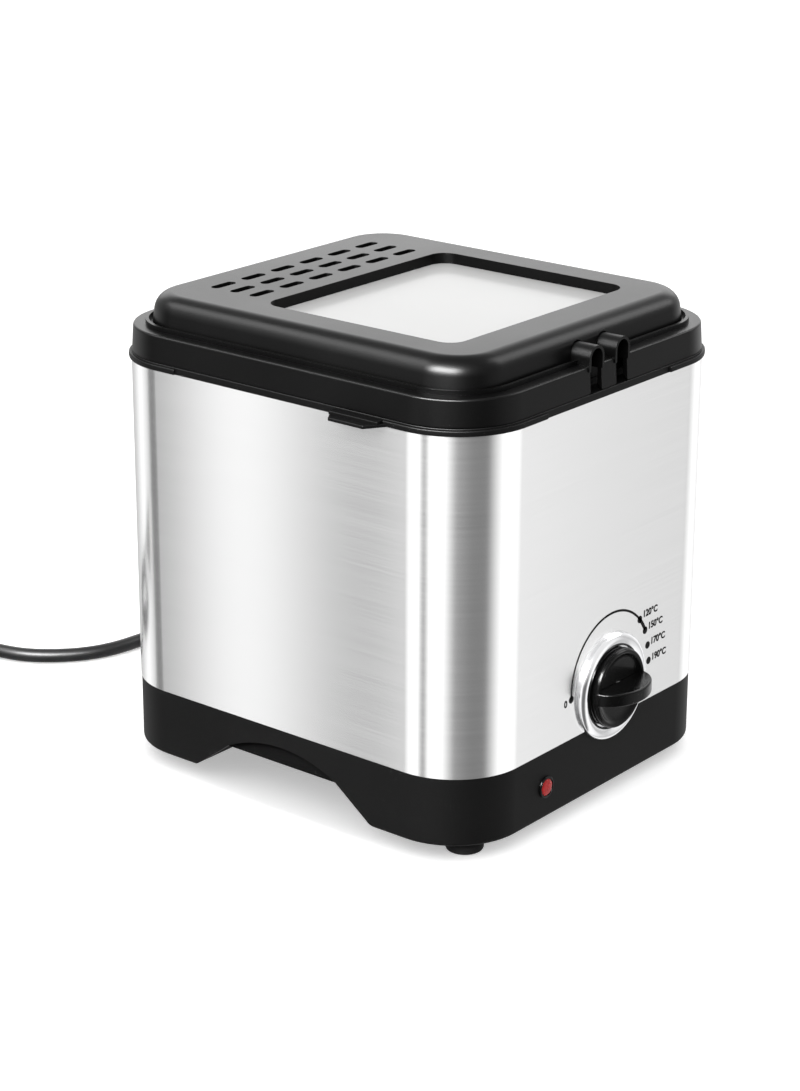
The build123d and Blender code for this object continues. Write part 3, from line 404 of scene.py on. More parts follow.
# ---- Base
# One black polypropylene moulding with a fine spark-eroded grain. A flat-roofed tunnel with an
# arched mouth runs through under it, matt inside and darkened there with painted shade, and four
# long screws clamp it to the collar.
base_low, base_high = 6.5, 38.0
wide, deep = steel_box[1].x - steel_box[0].x, back_y - front_y
corner = 34.0


def walk(bm, face, *steps):
    """Carries a face inwards and outwards of its own plane step by step, drawing a section round."""
    for inward, rise in steps:
        bmesh.ops.inset_region(
            bm, faces=[face], thickness=inward, depth=rise, use_even_offset=True, use_boundary=True
        )


def rounding(radius, count=5, lean=0.0):
    """Steps round an outside edge, from a wall, upright or leaning, on to the face that ends it."""
    angles = [lean + (pi / 2 - lean) * step / count for step in range(count + 1)]
    return [
        (radius * (cos(one) - cos(two)), radius * (sin(two) - sin(one)))
        for one, two in zip(angles, angles[1:])
    ]


def moulded_black(name, shade, gloss, specular):
    """Black moulding: fine grain in the sheen, and a faint cloud of flow marks."""
    made = Finish(name, Specular_IOR_Level=specular)
    grain = made.noise(1900, 3.0)
    cloud = made.noise(24, 3.0)
    made.set(
        Base_Color=made.tint(cloud, (shade * 0.75,) * 3, (shade * 1.3,) * 3),
        Roughness=gloss + 0.07 * cloud + 0.06 * grain,
    )
    return made.bump(grain, 0.00004, 0.5)


base_black = moulded_black("base_black", 0.002, 0.42, 0.06)
bm = bmesh.new()
sole_round = 1.6
_, bottom = block(bm, (wide - 0.6, deep - 0.6), corner - 0.3, base_low + sole_round, base_high)
walk(bm, bottom, *rounding(sole_round))


def pull(bm, way):
    """Pulls flat faces out into a solid."""
    pulled = bmesh.ops.extrude_face_region(bm, geom=bm.faces[:], use_keep_orig=True)
    fresh = [item for item in pulled["geom"] if isinstance(item, bmesh.types.BMVert)]
    bmesh.ops.translate(bm, vec=way, verts=fresh)


def arch_core(left, right, crowned=True):
    """The core that shapes an arch, or the flat-roofed tunnel between the two arches."""
    core = bmesh.new()
    shoulder, rise = (31.0, 15.5) if crowned else (33.71, 13.5)
    arc_drop, arc_sweep = 45.7, radians(53.74)
    mouth_half, clear_half, clear_depth = 52.0, 70.0, 9.0
    first = core.verts.new((left, body_y - shoulder, base_low + rise))
    if crowned:
        bmesh.ops.spin(
            core, geom=[first], cent=(left, body_y, base_low - arc_drop), axis=(-1, 0, 0),
            angle=arc_sweep, steps=14,
        )
    else:
        core.verts.new((left, body_y + shoulder, base_low + rise))
    core.verts.ensure_lookup_table()
    chain = [core.verts[-1]]
    for y, z in (
        (mouth_half, 0.0), (clear_half, 0.0), (clear_half, -clear_depth),
        (-clear_half, -clear_depth), (-clear_half, 0.0), (-mouth_half, 0.0),
    ):
        chain.append(core.verts.new((left, body_y + y, base_low - 0.01 + z)))
    chain.append(first)
    for pair in zip(chain, chain[1:]):
        core.edges.new(pair)
    if not crowned:
        core.edges.new((first, chain[0]))
    bmesh.ops.contextual_create(core, geom=list(core.edges))
    rounded(core, [chain[1], chain[6]], 2.4, 6, affect="VERTICES")
    pull(core, (right - left, 0, 0))
    return core


past_base, arch_end = 120.0, wide / 2 - 3.3
carve(bm, arch_core(-past_base, past_base, crowned=False))
carve(bm, arch_core(-past_base, -arch_end))
carve(bm, arch_core(arch_end, past_base))
base = finished(
    bm, "moulded_base", base_black, "fryer_body", "black_plastic", "base_tray", soften=0.7, rounds=3
)
# The tunnel's inside gets a darker, less glossy copy of the base black, with fine tool marks in it. It is
# painted shade for the recess.
painted_shade_black = Finish("core_face_painted_shade", Specular_IOR_Level=0.02)
tool_marks = painted_shade_black.noise(600, 4.0)
painted_shade_black.set(
    Base_Color=painted_shade_black.tint(tool_marks, (0.0008, 0.0008, 0.0008), (0.002, 0.002, 0.002)),
    Roughness=0.75 + 0.15 * tool_marks,
)
painted_shade_black.bump(tool_marks, 0.0001, 0.5)
base.data.materials.append(painted_shade_black.material)
wall, tunnel_half, tunnel_high = 3.2, 53.0, 24.0
# Faces inside the tunnel take the painted shade material.
for face in base.data.polygons:
    across, back, up = face.center / mm - Vector((0, body_y, base_low))
    if abs(across) < wide / 2 - wall and abs(back) < tunnel_half and 0.2 < up < tunnel_high:
        face.material_index = 1

# ---- Feet and tie screws
# Four turned rubber feet with chamfered soles, and the cross-headed screws that come up
# through them into the collar's posts.
foot_x, foot_y = 74.0, 86.5
foot_places = [(x, body_y + y) for x in (-foot_x, foot_x) for y in (-foot_y, foot_y)]
rubber = Finish("foot_rubber", Specular_IOR_Level=0.06)
rubber_grain = rubber.noise(1100, 4.0)
rubber.set(
    Base_Color=rubber.tint(rubber.noise(150), (0.003, 0.003, 0.003), (0.008, 0.008, 0.008)),
    Roughness=0.62 + 0.2 * rubber_grain,
)
rubber.bump(rubber_grain, 0.0001, 0.6)
bm = bmesh.new()
foot_section = [
    (3.9, 0.0), (7.2, 0.0), (8.0, 0.4), (8.4, 1.4), (8.3, 5.6), (7.8, 6.5), (1.9, 6.5), (1.9, 3.25),
    (3.9, 3.25),
]
for x, y in foot_places:
    turned(bm, foot_section, (x, y, 0), (0, 0, 1), (1, 0, 0), steps=48, closed=True)
finished(bm, "rubber_feet", rubber, "fryer_body", "black_rubber", "feet", soften=0.2)

zinc = Finish("zinc_plate", Metallic=1.0)
zinc_bloom = zinc.cells(260)
zinc.set(
    Base_Color=zinc.tint(zinc_bloom, (0.42, 0.43, 0.44), (0.6, 0.6, 0.59)),
    Roughness=0.3 + 0.2 * zinc.noise(300),
)
zinc.bump(zinc_bloom, 0.00002, 0.4)
bm = bmesh.new()
crosses, bars = bmesh.new(), bmesh.new()
screw_section = [
    (0, 0.85), (2.2, 0.95), (3.3, 1.5), (3.6, 2.2), (3.6, 3.2), (1.75, 3.25), (1.75, 60.0), (0, 60.0),
]
for x, y in foot_places:
    turned(bm, screw_section, (x, y, 0), (0, 0, 1), (1, 0, 0), steps=32)
    for shape, size in ((crosses, (3.8, 0.8)), (bars, (0.8, 3.8))):
        block(shape, size, 0.0, 0.2, 2.3, x=x, y=y)
bmesh.ops.remove_doubles(bm, verts=bm.verts, dist=0.001)
carve(crosses, bars, "UNION")
carve(bm, crosses)
finished(bm, "tie_screw_heads", zinc, "fryer_body", "steel_plain", "tie_screws", crease=35)

# ---- Steel wrap
# One sheet of stainless steel, brushed along its length, bent round the fryer and clamped
# between the base and the collar, which hide its cut edges.
steel_low, steel_high = steel_box[0].z, steel_box[1].z


def brushed(name, shade, gloss, stretch):
    """Rolled steel, brushed so that long scratches lie across the shorter stretch."""
    made = Finish(name, Metallic=1.0, Anisotropic=0.25, Anisotropic_Rotation=0.25)
    lines = made.noise(1.0, 4.0, 0.62, stretch=stretch)
    wider = made.noise(1.0, 2.0, stretch=[amount / 4 for amount in stretch])
    made.set(
        Base_Color=made.tint(lines, (shade * 0.96,) * 3, (shade * 1.03,) * 3),
        Roughness=gloss - 0.03 + 0.04 * lines + 0.02 * wider,
    )
    return made.bump(lines, 0.000006, 0.03)


def ring(bm, face, opposite):
    """Opens a walked section's last face and its starting face into one continuous ring."""
    rims = list(face.edges) + list(opposite.edges)
    bmesh.ops.delete(bm, geom=[face, opposite], context="FACES_ONLY")
    bmesh.ops.bridge_loops(bm, edges=rims)


steel = brushed("brushed_wrap", 0.8, 0.2, (9, 9, 1800))
bm = bmesh.new()
top, bottom = block(bm, (wide, deep), corner, steel_low, steel_high, segments=24)
walk(bm, top, (0.8, 0.0), (0.0, steel_low - steel_high))
ring(bm, top, bottom)
finished(bm, "steel_wrap", steel, "fryer_body", "steel_wrap", "housing", crease=30)

# ---- Dial print
# Screen-printed in black on the steel: an arc from 0 to the first mark, thicker from there to
# the second, then the marks and their plain numbers.
knob_box = [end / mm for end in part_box("knob")]
dial_x = (knob_box[0].x + knob_box[1].x) / 2
dial_z = (knob_box[0].z + knob_box[1].z) / 2
ink = Finish("dial_ink", Specular_IOR_Level=0.05)
ink_wear = ink.noise(800, 3.0)
ink.set(
    Base_Color=ink.tint(ink_wear, (0.002, 0.002, 0.002), (0.006, 0.006, 0.006)),
    Roughness=0.4 + 0.15 * ink_wear,
)
print_y = front_y - 0.06
mark_radius, figure_size = 1.75, 4.4
arc_x, arc_z, arc_radius = 7.15, 58.7, 29.5
bm = bmesh.new()
for start, end, stroke in ((184, 43, 0.55), (43, 28, 0.9)):
    start, end = radians(start), radians(end)
    tip = [
        bm.verts.new((arc_x + radius * cos(start), print_y, arc_z + radius * sin(start)))
        for radius in (arc_radius - stroke, arc_radius + stroke)
    ]
    bmesh.ops.spin(
        bm, geom=[*tip, bm.edges.new(tip)], cent=(arc_x, print_y, arc_z), axis=(0, 1, 0),
        angle=start - end, steps=60,
    )
marks = [(-22.2, 56.7), (28.8, 78.7), (33.3, 72.2), (35.7, 64.4), (36.9, 56.6)]
for x, z in marks:
    bmesh.ops.create_circle(
        bm, cap_ends=True, radius=mark_radius, segments=24,
        matrix=Matrix.Translation((x, print_y, z)) @ Matrix.Rotation(pi / 2, 4, "X"),
    )
finished(bm, "dial_marks", ink, "fryer_body", "gloss_black")


def lettered(words, x, z):
    """Flat printed figures that stand on the steel's face."""
    name = "figures_" + words[:3]
    curve = bpy.data.curves.new(name, "FONT")
    curve.body = words
    curve.size = figure_size
    curve.align_y = "CENTER"
    curve.offset = 0.17
    writing = bpy.data.objects.new(name, curve)
    bpy.context.scene.collection.objects.link(writing)
    bpy.context.view_layer.update()
    mesh = bpy.data.meshes.new_from_object(
        writing.evaluated_get(bpy.context.evaluated_depsgraph_get())
    )
    bpy.data.objects.remove(writing)
    bpy.data.curves.remove(curve)
    shape = bmesh.new()
    shape.from_mesh(mesh)
    bpy.data.meshes.remove(mesh)
    bmesh.ops.rotate(shape, cent=(0, 0, 0), matrix=Matrix.Rotation(pi / 2, 3, "X"), verts=shape.verts)
    bmesh.ops.translate(shape, vec=(x, print_y, z), verts=shape.verts)
    finished(shape, name, ink, "fryer_body", "gloss_black")


lettered("0", -27.4, 55.6)
lettered("120°C", 31.2, 80.2)
lettered("150°C", 35.6, 73.4)
lettered("170°C", 38.0, 65.4)
lettered("190°C", 39.2, 57.4)

# ---- Collar
# A black heat-proof moulding that frames the pot and hooks over the steel. Beads stand out at
# its corners, and a stepped grip tab is moulded on each side.
collar_low, collar_high = 189.0, 192.2
tab_y = body_y - 46.0
collar_black = moulded_black("collar_black", 0.002, 0.36, 0.06)
bm = bmesh.new()
top, bottom = block(bm, (wide, deep), corner, collar_low, collar_high - 0.5)
walk(bm, top, *rounding(0.5, 3), (11.5, 0.0), (0.0, -1.0), (7.7, 0.0))
ring(bm, top, bottom)
post_section = [(1.8, 159.0), (5.5, 159.0), (5.5, 189.2), (1.8, 189.2)]
for x, y in foot_places:
    turned(bm, post_section, (x, y, 0), (0, 0, 1), (1, 0, 0), steps=32, closed=True)
tab_root, tab_tip = 37.6, 18.5
for side in (-1, 1):
    top, bottom = block(bm, (14.5, tab_root), 0.0, collar_low, collar_low + 1.5, x=side * 97.25, y=tab_y)
    tips = [vert for face in (top, bottom) for vert in face.verts if abs(vert.co.x) > 100]
    bmesh.ops.scale(bm, vec=(1, tab_tip / tab_root, 1), verts=tips, space=Matrix.Translation((0, -tab_y, 0)))
    block(bm, (9.6, 26.0), 0.0, collar_low + 1.0, collar_low + 2.6, x=side * 95.0, y=tab_y)
beads = bmesh.new()
top, bottom = block(beads, (wide + 2.4, deep + 2.4), corner + 1.2, collar_low + 0.6, collar_low + 2.0)
walk(beads, top, *rounding(0.6, 3), (3.0, 0.0))
walk(beads, bottom, *rounding(0.6, 3), (3.0, 0.0))
ring(beads, top, bottom)
for straight_side in ((90.0, 400.0), (400.0, 116.0)):
    gap = bmesh.new()
    block(gap, straight_side, 0.0, 180.0, 200.0)
    carve(beads, gap)
bead_mesh = bpy.data.meshes.new("beads")
beads.to_mesh(bead_mesh)
beads.free()
bm.from_mesh(bead_mesh)
bpy.data.meshes.remove(bead_mesh)
finished(bm, "collar_moulding", collar_black, "fryer_body", "black_plastic", "collar", soften=0.3)

# ---- Oil pot
# Deep-drawn steel with a rounded bottom, spun to a fine circular grain and hung in the collar
# by its flange.
drawn = Finish("drawn_steel", Metallic=1.0)
spun = drawn.noise(1.0, 3.0, 0.6, stretch=(420, 420, 30))
haze = drawn.noise(18, 3.0)
drawn.set(
    Base_Color=drawn.tint(haze, (0.3, 0.3, 0.295), (0.38, 0.38, 0.375)),
    Roughness=0.2 + 0.1 * spun + 0.1 * haze,
)
drawn.bump(spun, 0.00002, 0.35)
coat(drawn, "inner_pot")

# ---- Heater
# A cast aluminium plate clamped under the pot, with its sheathed element, a sheet-steel heat
# shield on a centre stud, and a resin-cased thermal cut-out.
cast = Finish("cast_aluminium", Metallic=1.0)
pits = cast.cells(700)
cast.set(
    Base_Color=cast.tint(cast.noise(80, 4.0), (0.4, 0.4, 0.41), (0.58, 0.58, 0.59)),
    Roughness=0.42 + 0.2 * cast.noise(500, 3.0),
)
cast.bump(pits, 0.00015, 0.5)
coat(cast, "heater_plate")

heat_tinted = Finish("element_sheath", Metallic=1.0)
tinting = heat_tinted.noise(34, 3.0)
heat_tinted.set(
    Base_Color=heat_tinted.tint(tinting, (0.16, 0.13, 0.1), (0.34, 0.31, 0.27)),
    Roughness=0.38 + 0.2 * tinting,
)
heat_tinted.bump(heat_tinted.noise(900), 0.00004, 0.4)
coat(heat_tinted, "heating_element")

plain_steel = Finish("plain_steel", Metallic=1.0)
rolled = plain_steel.noise(1.0, 3.0, 0.6, stretch=(40, 900, 900))
plain_steel.set(
    Base_Color=plain_steel.tint(rolled, (0.5, 0.5, 0.49), (0.62, 0.62, 0.61)),
    Roughness=0.24 + 0.14 * rolled,
)
plain_steel.bump(rolled, 0.00002, 0.4)
coat(plain_steel, "heat_shield", "centre_stud", "thermostat_bracket", "thermostat_shaft", "bezel_nut")
coat(zinc, "stud_nut")

resin = Finish("brown_resin", Specular_IOR_Level=0.4)
filler = resin.cells(1400)
resin.set(
    Base_Color=resin.tint(filler, (0.035, 0.022, 0.014), (0.06, 0.04, 0.027)),
    Roughness=0.4 + 0.2 * resin.noise(600),
)
resin.bump(filler, 0.00006, 0.4)
coat(resin, "thermal_cutout", "thermostat_body", "terminal_block")

# ---- Thermostat bulb and wiring
# A copper bulb and capillary clipped under the plate, and glass-braid sleeved wires between
# the terminal block, thermostat, cut-out and element.
copper = Finish("copper_tube", Metallic=1.0)
patina = copper.noise(120, 4.0)
copper.set(
    Base_Color=copper.tint(patina, (0.5, 0.22, 0.12), (0.78, 0.42, 0.26)),
    Roughness=0.26 + 0.24 * patina,
)
copper.bump(copper.noise(900), 0.00003, 0.4)
coat(copper, "sensor_bulb")

braid = Finish("braided_sleeve", Specular_IOR_Level=0.25)
weave = braid.node("ShaderNodeTexWave", {"wave_type": "BANDS", "bands_direction": "DIAGONAL"}, {
    "Vector": braid.place(), "Scale": 420.0, "Distortion": 1.0,
})
braid.set(
    Base_Color=braid.tint(weave, (0.5, 0.48, 0.42), (0.74, 0.71, 0.63)),
    Roughness=0.7 + 0.15 * weave,
)
braid.bump(weave, 0.0002, 0.7)
coat(braid, "internal_wires")

# ---- Bezel ring
# A pressed ring, chrome plated and polished, trapped between the steel and the thermostat's
# bush by the nut behind.
chrome = Finish("bright_chrome", Metallic=1.0)
polish = chrome.noise(300, 3.0)
chrome.set(
    Base_Color=chrome.tint(polish, (0.66, 0.66, 0.67), (0.74, 0.74, 0.75)),
    Roughness=0.1 + 0.05 * polish,
)
chrome.bump(polish, 0.00001, 0.04)
bm = bmesh.new()
bezel_section = [(5.05, 0.0), (24.7, 0.0), (24.7, 0.7)]
rim_steps = 9
for step in range(1, rim_steps):
    angle = pi / 2 * step / rim_steps
    bezel_section.append((21.7 + 3.0 * cos(angle), 0.7 + 2.7 * sin(angle)))
bezel_section += [(21.7, 3.4), (20.4, 3.3), (19.4, 3.0), (18.8, 2.5), (18.6, 1.9), (18.6, 1.0), (5.05, 1.0)]
turned(bm, bezel_section, (dial_x, front_y, dial_z), (0, -1, 0), (1, 0, 0), steps=96, closed=True)
finished(bm, "chrome_bezel", chrome, "fryer_body", "chrome_ring", "bezel_ring", crease=50)

# ---- Dial knob
# A glossy black moulding: a dished disc with a raised rim and a half-oval finger bar across
# it. It is pushed on the thermostat's shaft.
gloss = Finish("gloss_black", Specular_IOR_Level=0.06, Coat_Roughness=0.08, Coat_IOR=1.12)
handling = gloss.noise(70, 4.0)
gloss.set(
    Base_Color=gloss.tint(gloss.noise(30), (0.0015, 0.0015, 0.0015), (0.003, 0.003, 0.003)),
    Roughness=0.16 + 0.16 * handling,
    Coat_Weight=0.3 + 0.3 * handling,
)
gloss.bump(gloss.noise(350, 2.0), 0.00002, 0.3)


def slice_through(bm, place, normal, **choices):
    """Cuts every face that a plane meets."""
    whole = bm.verts[:] + bm.edges[:] + bm.faces[:]
    bmesh.ops.bisect_plane(bm, geom=whole, dist=0.0001, plane_co=place, plane_no=normal, **choices)


bm = bmesh.new()
disc_section = [
    (0.0, 1.5), (16.4, 1.5), (17.7, 2.0), (18.1, 3.0), (18.1, 5.0), (17.9, 5.8), (17.4, 6.3), (16.8, 6.4),
    (16.1, 6.2), (15.4, 5.6), (14.4, 4.9), (12.5, 4.5), (0.0, 4.4),
]
turned(bm, disc_section, (dial_x, front_y, dial_z), (0, -1, 0), (1, 0, 0), steps=96)
half_oval = bmesh.new()
bar_thickness = 6.0
bmesh.ops.create_circle(half_oval, cap_ends=True, radius=1.0, segments=72)
bmesh.ops.scale(half_oval, vec=(18.0, 13.3, 1), verts=half_oval.verts)
slice_through(half_oval, (0, 0, 0), (0, 1, 0), clear_outer=True)
bmesh.ops.translate(
    half_oval, vec=(dial_x, front_y - 4.2, dial_z - bar_thickness / 2), verts=half_oval.verts
)
pull(half_oval, (0, 0, bar_thickness))
rounded(half_oval, [edge for edge in half_oval.edges if extent(edge, 2) < 1], 0.9, 4)
carve(bm, half_oval, "UNION")
finished(bm, "dial_knob", gloss, "dial", "gloss_black", "knob", crease=35)

# ---- Pilot lamp
# A red lens in a thin black rim, snapped into the front of the base.
lens_box = [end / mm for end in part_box("pilot_lens")]
lamp_x = (lens_box[0].x + lens_box[1].x) / 2
lamp_z = (lens_box[0].z + lens_box[1].z) / 2
lamp_place = (lamp_x, front_y + 0.3, lamp_z)
bm = bmesh.new()
rim_section = [
    (3.85, -6.0), (4.4, -6.0), (4.4, 0.0), (5.0, 0.0), (5.0, 0.5), (4.8, 0.85), (4.4, 1.0), (4.0, 0.9),
    (3.85, 0.6),
]
turned(bm, rim_section, lamp_place, (0, -1, 0), (1, 0, 0), steps=48, closed=True)
finished(bm, "lamp_rim", gloss, "fryer_body", "gloss_black", "pilot_lamp", crease=50)

red = Finish("red_lens", Specular_IOR_Level=0.12, Coat_Roughness=0.05)
facets = red.cells(900)
red.set(
    Base_Color=red.tint(facets, (0.18, 0.004, 0.004), (0.3, 0.01, 0.01)),
    Roughness=0.2 + 0.15 * red.noise(400),
    Coat_Weight=0.06 + 0.06 * facets,
    Emission_Color=red.tint(facets, (0.5, 0.0, 0.0), (0.8, 0.02, 0.01)),
    Emission_Strength=0.06,
)
red.bump(facets, 0.0001, 0.4)
bm = bmesh.new()
lens_section = [(0.0, -6.0), (3.8, -6.0), (3.8, 0.5), (3.5, 0.9), (2.8, 1.15), (1.6, 1.28), (0.0, 1.3)]
turned(bm, lens_section, lamp_place, (0, -1, 0), (1, 0, 0), steps=48)
finished(bm, "lamp_lens", red, "fryer_body", "red_lens", "pilot_lens", crease=60)

# ---- Lid frame
# The lid's lower half: a drafted skirt, a ledge, a standing shoulder that locates the dome,
# and two hooded slots at the front that let the basket's handle wires through.
skirt_low = 192.5
lid_black = moulded_black("lid_black", 0.0015, 0.26, 0.08)
bm = bmesh.new()
top, bottom = block(bm, (wide - 0.6, deep - 0.6), corner - 0.3, skirt_low, skirt_low + 0.5)
walk(bm, top, (0.71, 10.2), *rounding(1.0, 4), (4.5, 0.0), (0.0, 2.0), (1.5, 0.0), (0.0, -2.0), (8.0, 0.0))
walk(bm, bottom, (2.5, 0.0), (0.0, -9.2), (5.7, 0.0), (0.0, 6.6), (2.5, 0.0), (0.0, -6.6), (5.0, 0.0))
ring(bm, top, bottom)
slot_x, slot_half, slot_spring = 9.4, 4.05, 207.3


def ends(edge, axis):
    """An edge's lower and higher place along an axis."""
    return sorted(vert.co[axis] for vert in edge.verts)


def hood(half_width, low, front, rear, rear_round=0.0):
    """A pair of round-topped blocks, as a core or a skin of the two hoods."""
    pair = bmesh.new()
    high = slot_spring + half_width
    for x in (-slot_x, slot_x):
        corners = slab(
            pair, (2 * half_width, rear - front, high - low), (x, (front + rear) / 2, (low + high) / 2)
        )
        crests = [
            edge for edge in pair.edges
            if edge.verts[0] in corners and extent(edge, 1) > 1 and ends(edge, 2)[0] > low + 1
        ]
        rounded(pair, crests, half_width - 0.02, 12)
    if rear_round:
        rear_rim = [
            edge for edge in pair.edges
            if ends(edge, 1)[0] > rear - 0.01 and ends(edge, 2)[1] > low + 1
        ]
        rounded(pair, rear_rim, rear_round, 5)
    return pair


def at_slot_foot(edge):
    """Whether an edge is one where a slot's side meets the skirt's lower rim at the front."""
    from_slot = abs(abs(abs(edge.verts[0].co.x) - slot_x) - slot_half)
    runs_back = extent(edge, 0) < 0.01 and extent(edge, 1) > 1
    low_in_front = ends(edge, 2)[1] < skirt_low + 0.01 and ends(edge, 1)[1] < front_y + 4
    return from_slot < 0.05 and runs_back and low_in_front


carve(bm, hood(5.3, 201.9, front_y + 0.35, front_y + 12.6, rear_round=2.6), "UNION")
carve(bm, hood(slot_half, 190.0, front_y - 6.0, front_y + 10.9))
rounded(bm, [edge for edge in bm.edges if at_slot_foot(edge)], 2.6, 6)
finished(bm, "lid_skirt", lid_black, "lid", "black_plastic", "lid_frame", soften=0.35)

# ---- Lid dome
# The lid's upper half: a drafted shell with a well-rounded top edge, moulded in one with the
# window's well and three rows of steam vents, and screwed to the frame from below.
pane_box = [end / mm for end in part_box("window_pane")]
window_y = (pane_box[0].y + pane_box[1].y) / 2
window_wide, window_deep, window_round = 125.0, 104.5, 8.0
dome_inset, ledge_high, lean = 9.7, 204.2, radians(8)
bm = bmesh.new()
top, bottom = block(
    bm, (wide - 2 * dome_inset, deep - 2 * dome_inset), corner - dome_inset, ledge_high, ledge_high + 0.5,
    segments=20,
)
inside_round = [(inward, -rise) for inward, rise in rounding(6.3, 5, lean)]
walk(bm, top, (0.84, 5.98), *rounding(8.5, 9, lean))
walk(bm, bottom, (2.2, 0.0), (0.0, -0.5), (0.84, -5.98), *inside_round)
well = bmesh.new()
block(well, (window_wide + 4.4, window_deep + 4.4), window_round + 2.2, 213.0, 217.0, y=window_y)
carve(bm, well, "UNION")
opening = bmesh.new()
block(opening, (window_wide, window_deep), window_round, 200.0, 225.0, y=window_y)
vent_pitch, row_pitch = 19.8, 11.4
middle_row = body_y + 59.4
for column in range(6):
    for row in range(3):
        vent_x, vent_y = (column - 2.5) * vent_pitch, middle_row + (row - 1) * row_pitch
        block(opening, (13.8, 4.6), 2.1, 210.0, 225.0, x=vent_x, y=vent_y, segments=6)
carve(bm, opening)
carve(bm, hood(5.6, 200.0, front_y - 6.0, front_y + 12.7))
finished(bm, "lid_dome", lid_black, "lid", "black_plastic", "lid_cover", soften=0.6)

# ---- Window
# A frosted near-white pane laid in the dome's well, on a silicone seal held up by the liner.
frosted = Finish("frosted_window", Specular_IOR_Level=0.03, Coat_Roughness=0.04)
frost = frosted.noise(1300, 3.0)
wiped = frosted.noise(20, 3.0, stretch=(1, 0.3, 1))
frosted.set(
    Base_Color=frosted.tint(wiped, (0.56, 0.56, 0.556), (0.6, 0.6, 0.596)),
    Roughness=0.16 + 0.1 * wiped,
    Coat_Weight=0.02 + 0.04 * wiped,
)
frosted.bump(frost, 0.00001, 0.3)
bm = bmesh.new()
top, _ = block(bm, (window_wide + 5.0, window_deep + 5.0), 10.5, 209.0, 212.6, y=window_y)
walk(bm, top, *rounding(0.4, 2))
finished(bm, "window_glass", frosted, "lid", "window_white", "window_pane", crease=50)

silicone = Finish("silicone_seal", Specular_IOR_Level=0.15)
chalk = silicone.noise(400, 3.0)
silicone.set(
    Base_Color=silicone.tint(silicone.noise(60), (0.006, 0.006, 0.006), (0.014, 0.014, 0.014)),
    Roughness=0.5 + 0.2 * chalk,
)
silicone.bump(chalk, 0.00005, 0.4)
coat(silicone, "window_seal", "lid_seal")

# ---- Liner, filter and screws
# A black liner plate closes the lid from below round a grey fibre grease filter under the
# vents; four zinc-plated screws with washer heads hold it all.
coat(lid_black, "lid_liner")
felt = Finish("fibre_filter", Specular_IOR_Level=0.1)
fibres = felt.noise(1.0, 4.0, 0.7, stretch=(900, 300, 900))
felt.set(
    Base_Color=felt.tint(fibres, (0.1, 0.1, 0.095), (0.26, 0.26, 0.25)),
    Roughness=0.85 + 0.1 * fibres,
)
felt.bump(fibres, 0.0004, 0.8)
coat(felt, "grease_filter")
coat(zinc, "lid_screws")

# ---- Basket
# Bright wire mesh pressed to a deep tray with rounded corners, hung from a thicker rim wire by
# two folded steel hooks.
bright_wire = Finish("bright_wire", Metallic=1.0)
drawing = bright_wire.noise(700, 3.0)
bright_wire.set(
    Base_Color=bright_wire.tint(bright_wire.noise(120), (0.12, 0.12, 0.118), (0.2, 0.2, 0.197)),
    Roughness=0.22 + 0.16 * drawing,
)
bright_wire.bump(drawing, 0.00003, 0.4)
coat(bright_wire, "basket_rim", "front_hook", "rear_hook", "handle_wires")
basket_wide, basket_deep, basket_corner = 134.8, 152.8, 15.4
basket_low, basket_high = 106.2, 180.0
bm = bmesh.new()
top, bottom = block(bm, (basket_wide, basket_deep), basket_corner, basket_low, basket_high, segments=4)
bmesh.ops.delete(bm, geom=[top], context="FACES_ONLY")
walk(bm, bottom, *rounding(7.4, 2))
wire_runs = [
    (18, (1, 0, 0), -52.0, 52.0),
    (21, (0, 1, 0), body_y - 61.0, body_y + 61.0),
    (13, (0, 0, 1), basket_low, basket_high),
]
for count, way, start, end in wire_runs:
    for step in range(1, count):
        slice_through(bm, Vector(way) * (start + (end - start) * step / count), way)
mesh_basket = finished(bm, "mesh_basket", bright_wire, "basket", "steel_plain", "basket", crease=180)
wires = mesh_basket.modifiers.new("wires", "WIREFRAME")
wires.thickness = 1.1 * mm
wires.use_even_offset = False

# ---- Basket handle
# A black heat-proof grip moulded on two bright wires that pivot in the hook's ears and fold
# inwards over the basket.
hinge_y, hinge_z = -63.85, 186.25
grip_start, grip_end = hinge_y + 38.0, hinge_y + 110.0
bm = bmesh.new()
grip_wide, grip_thick = 26.0, 10.0
slab(bm, (grip_wide, grip_end - grip_start, grip_thick), (0, (grip_start + grip_end) / 2, hinge_z))
rounded(bm, [edge for edge in bm.edges if extent(edge, 1) > 5], 4.0, 8)
rounded(bm, [edge for edge in bm.edges if ends(edge, 1)[0] > grip_end - 0.01], 3.0, 5)
bm.normal_update()
palms = [face for face in bm.faces if abs(face.normal.z) > 0.99 and face.calc_area() > 400]
for palm in palms:
    walk(bm, palm, (2.4, 0.0), (0.8, -0.7))
finished(bm, "handle_moulding", gloss, "handle", "gloss_black", "handle_grip", soften=0.4)

# ---- Table and light
# A plain pale table in a studio of light and dark walls, and soft box lights whose glints shape
# the black mouldings. A card seen only in reflections gives the steel's left side its bands.
table_mesh = bpy.data.meshes.new("table")
bm = bmesh.new()
bmesh.ops.create_grid(bm, x_segments=1, y_segments=1, size=20.0)
bm.to_mesh(table_mesh)
bm.free()
table = bpy.data.objects.new("table", table_mesh)
bpy.context.scene.collection.objects.link(table)
pale = Finish("pale_table", Specular_IOR_Level=0.1)
pale.set(
    Base_Color=pale.tint(pale.noise(2.0), (0.86, 0.86, 0.86), (0.88, 0.88, 0.88)),
    Roughness=0.85 + 0.05 * pale.noise(4.0),
    Emission_Color=(1, 1, 1),
    Emission_Strength=0.4,
)
table_mesh.materials.append(pale.material)


class Surroundings(Finish):
    """The studio round the table: its brightness by compass and height."""

    def __init__(self, name):
        world = bpy.data.worlds.new(name)
        bpy.context.scene.world = world
        world.use_nodes = True
        self.tree = world.node_tree
        self.shader = self.tree.nodes["Background"]


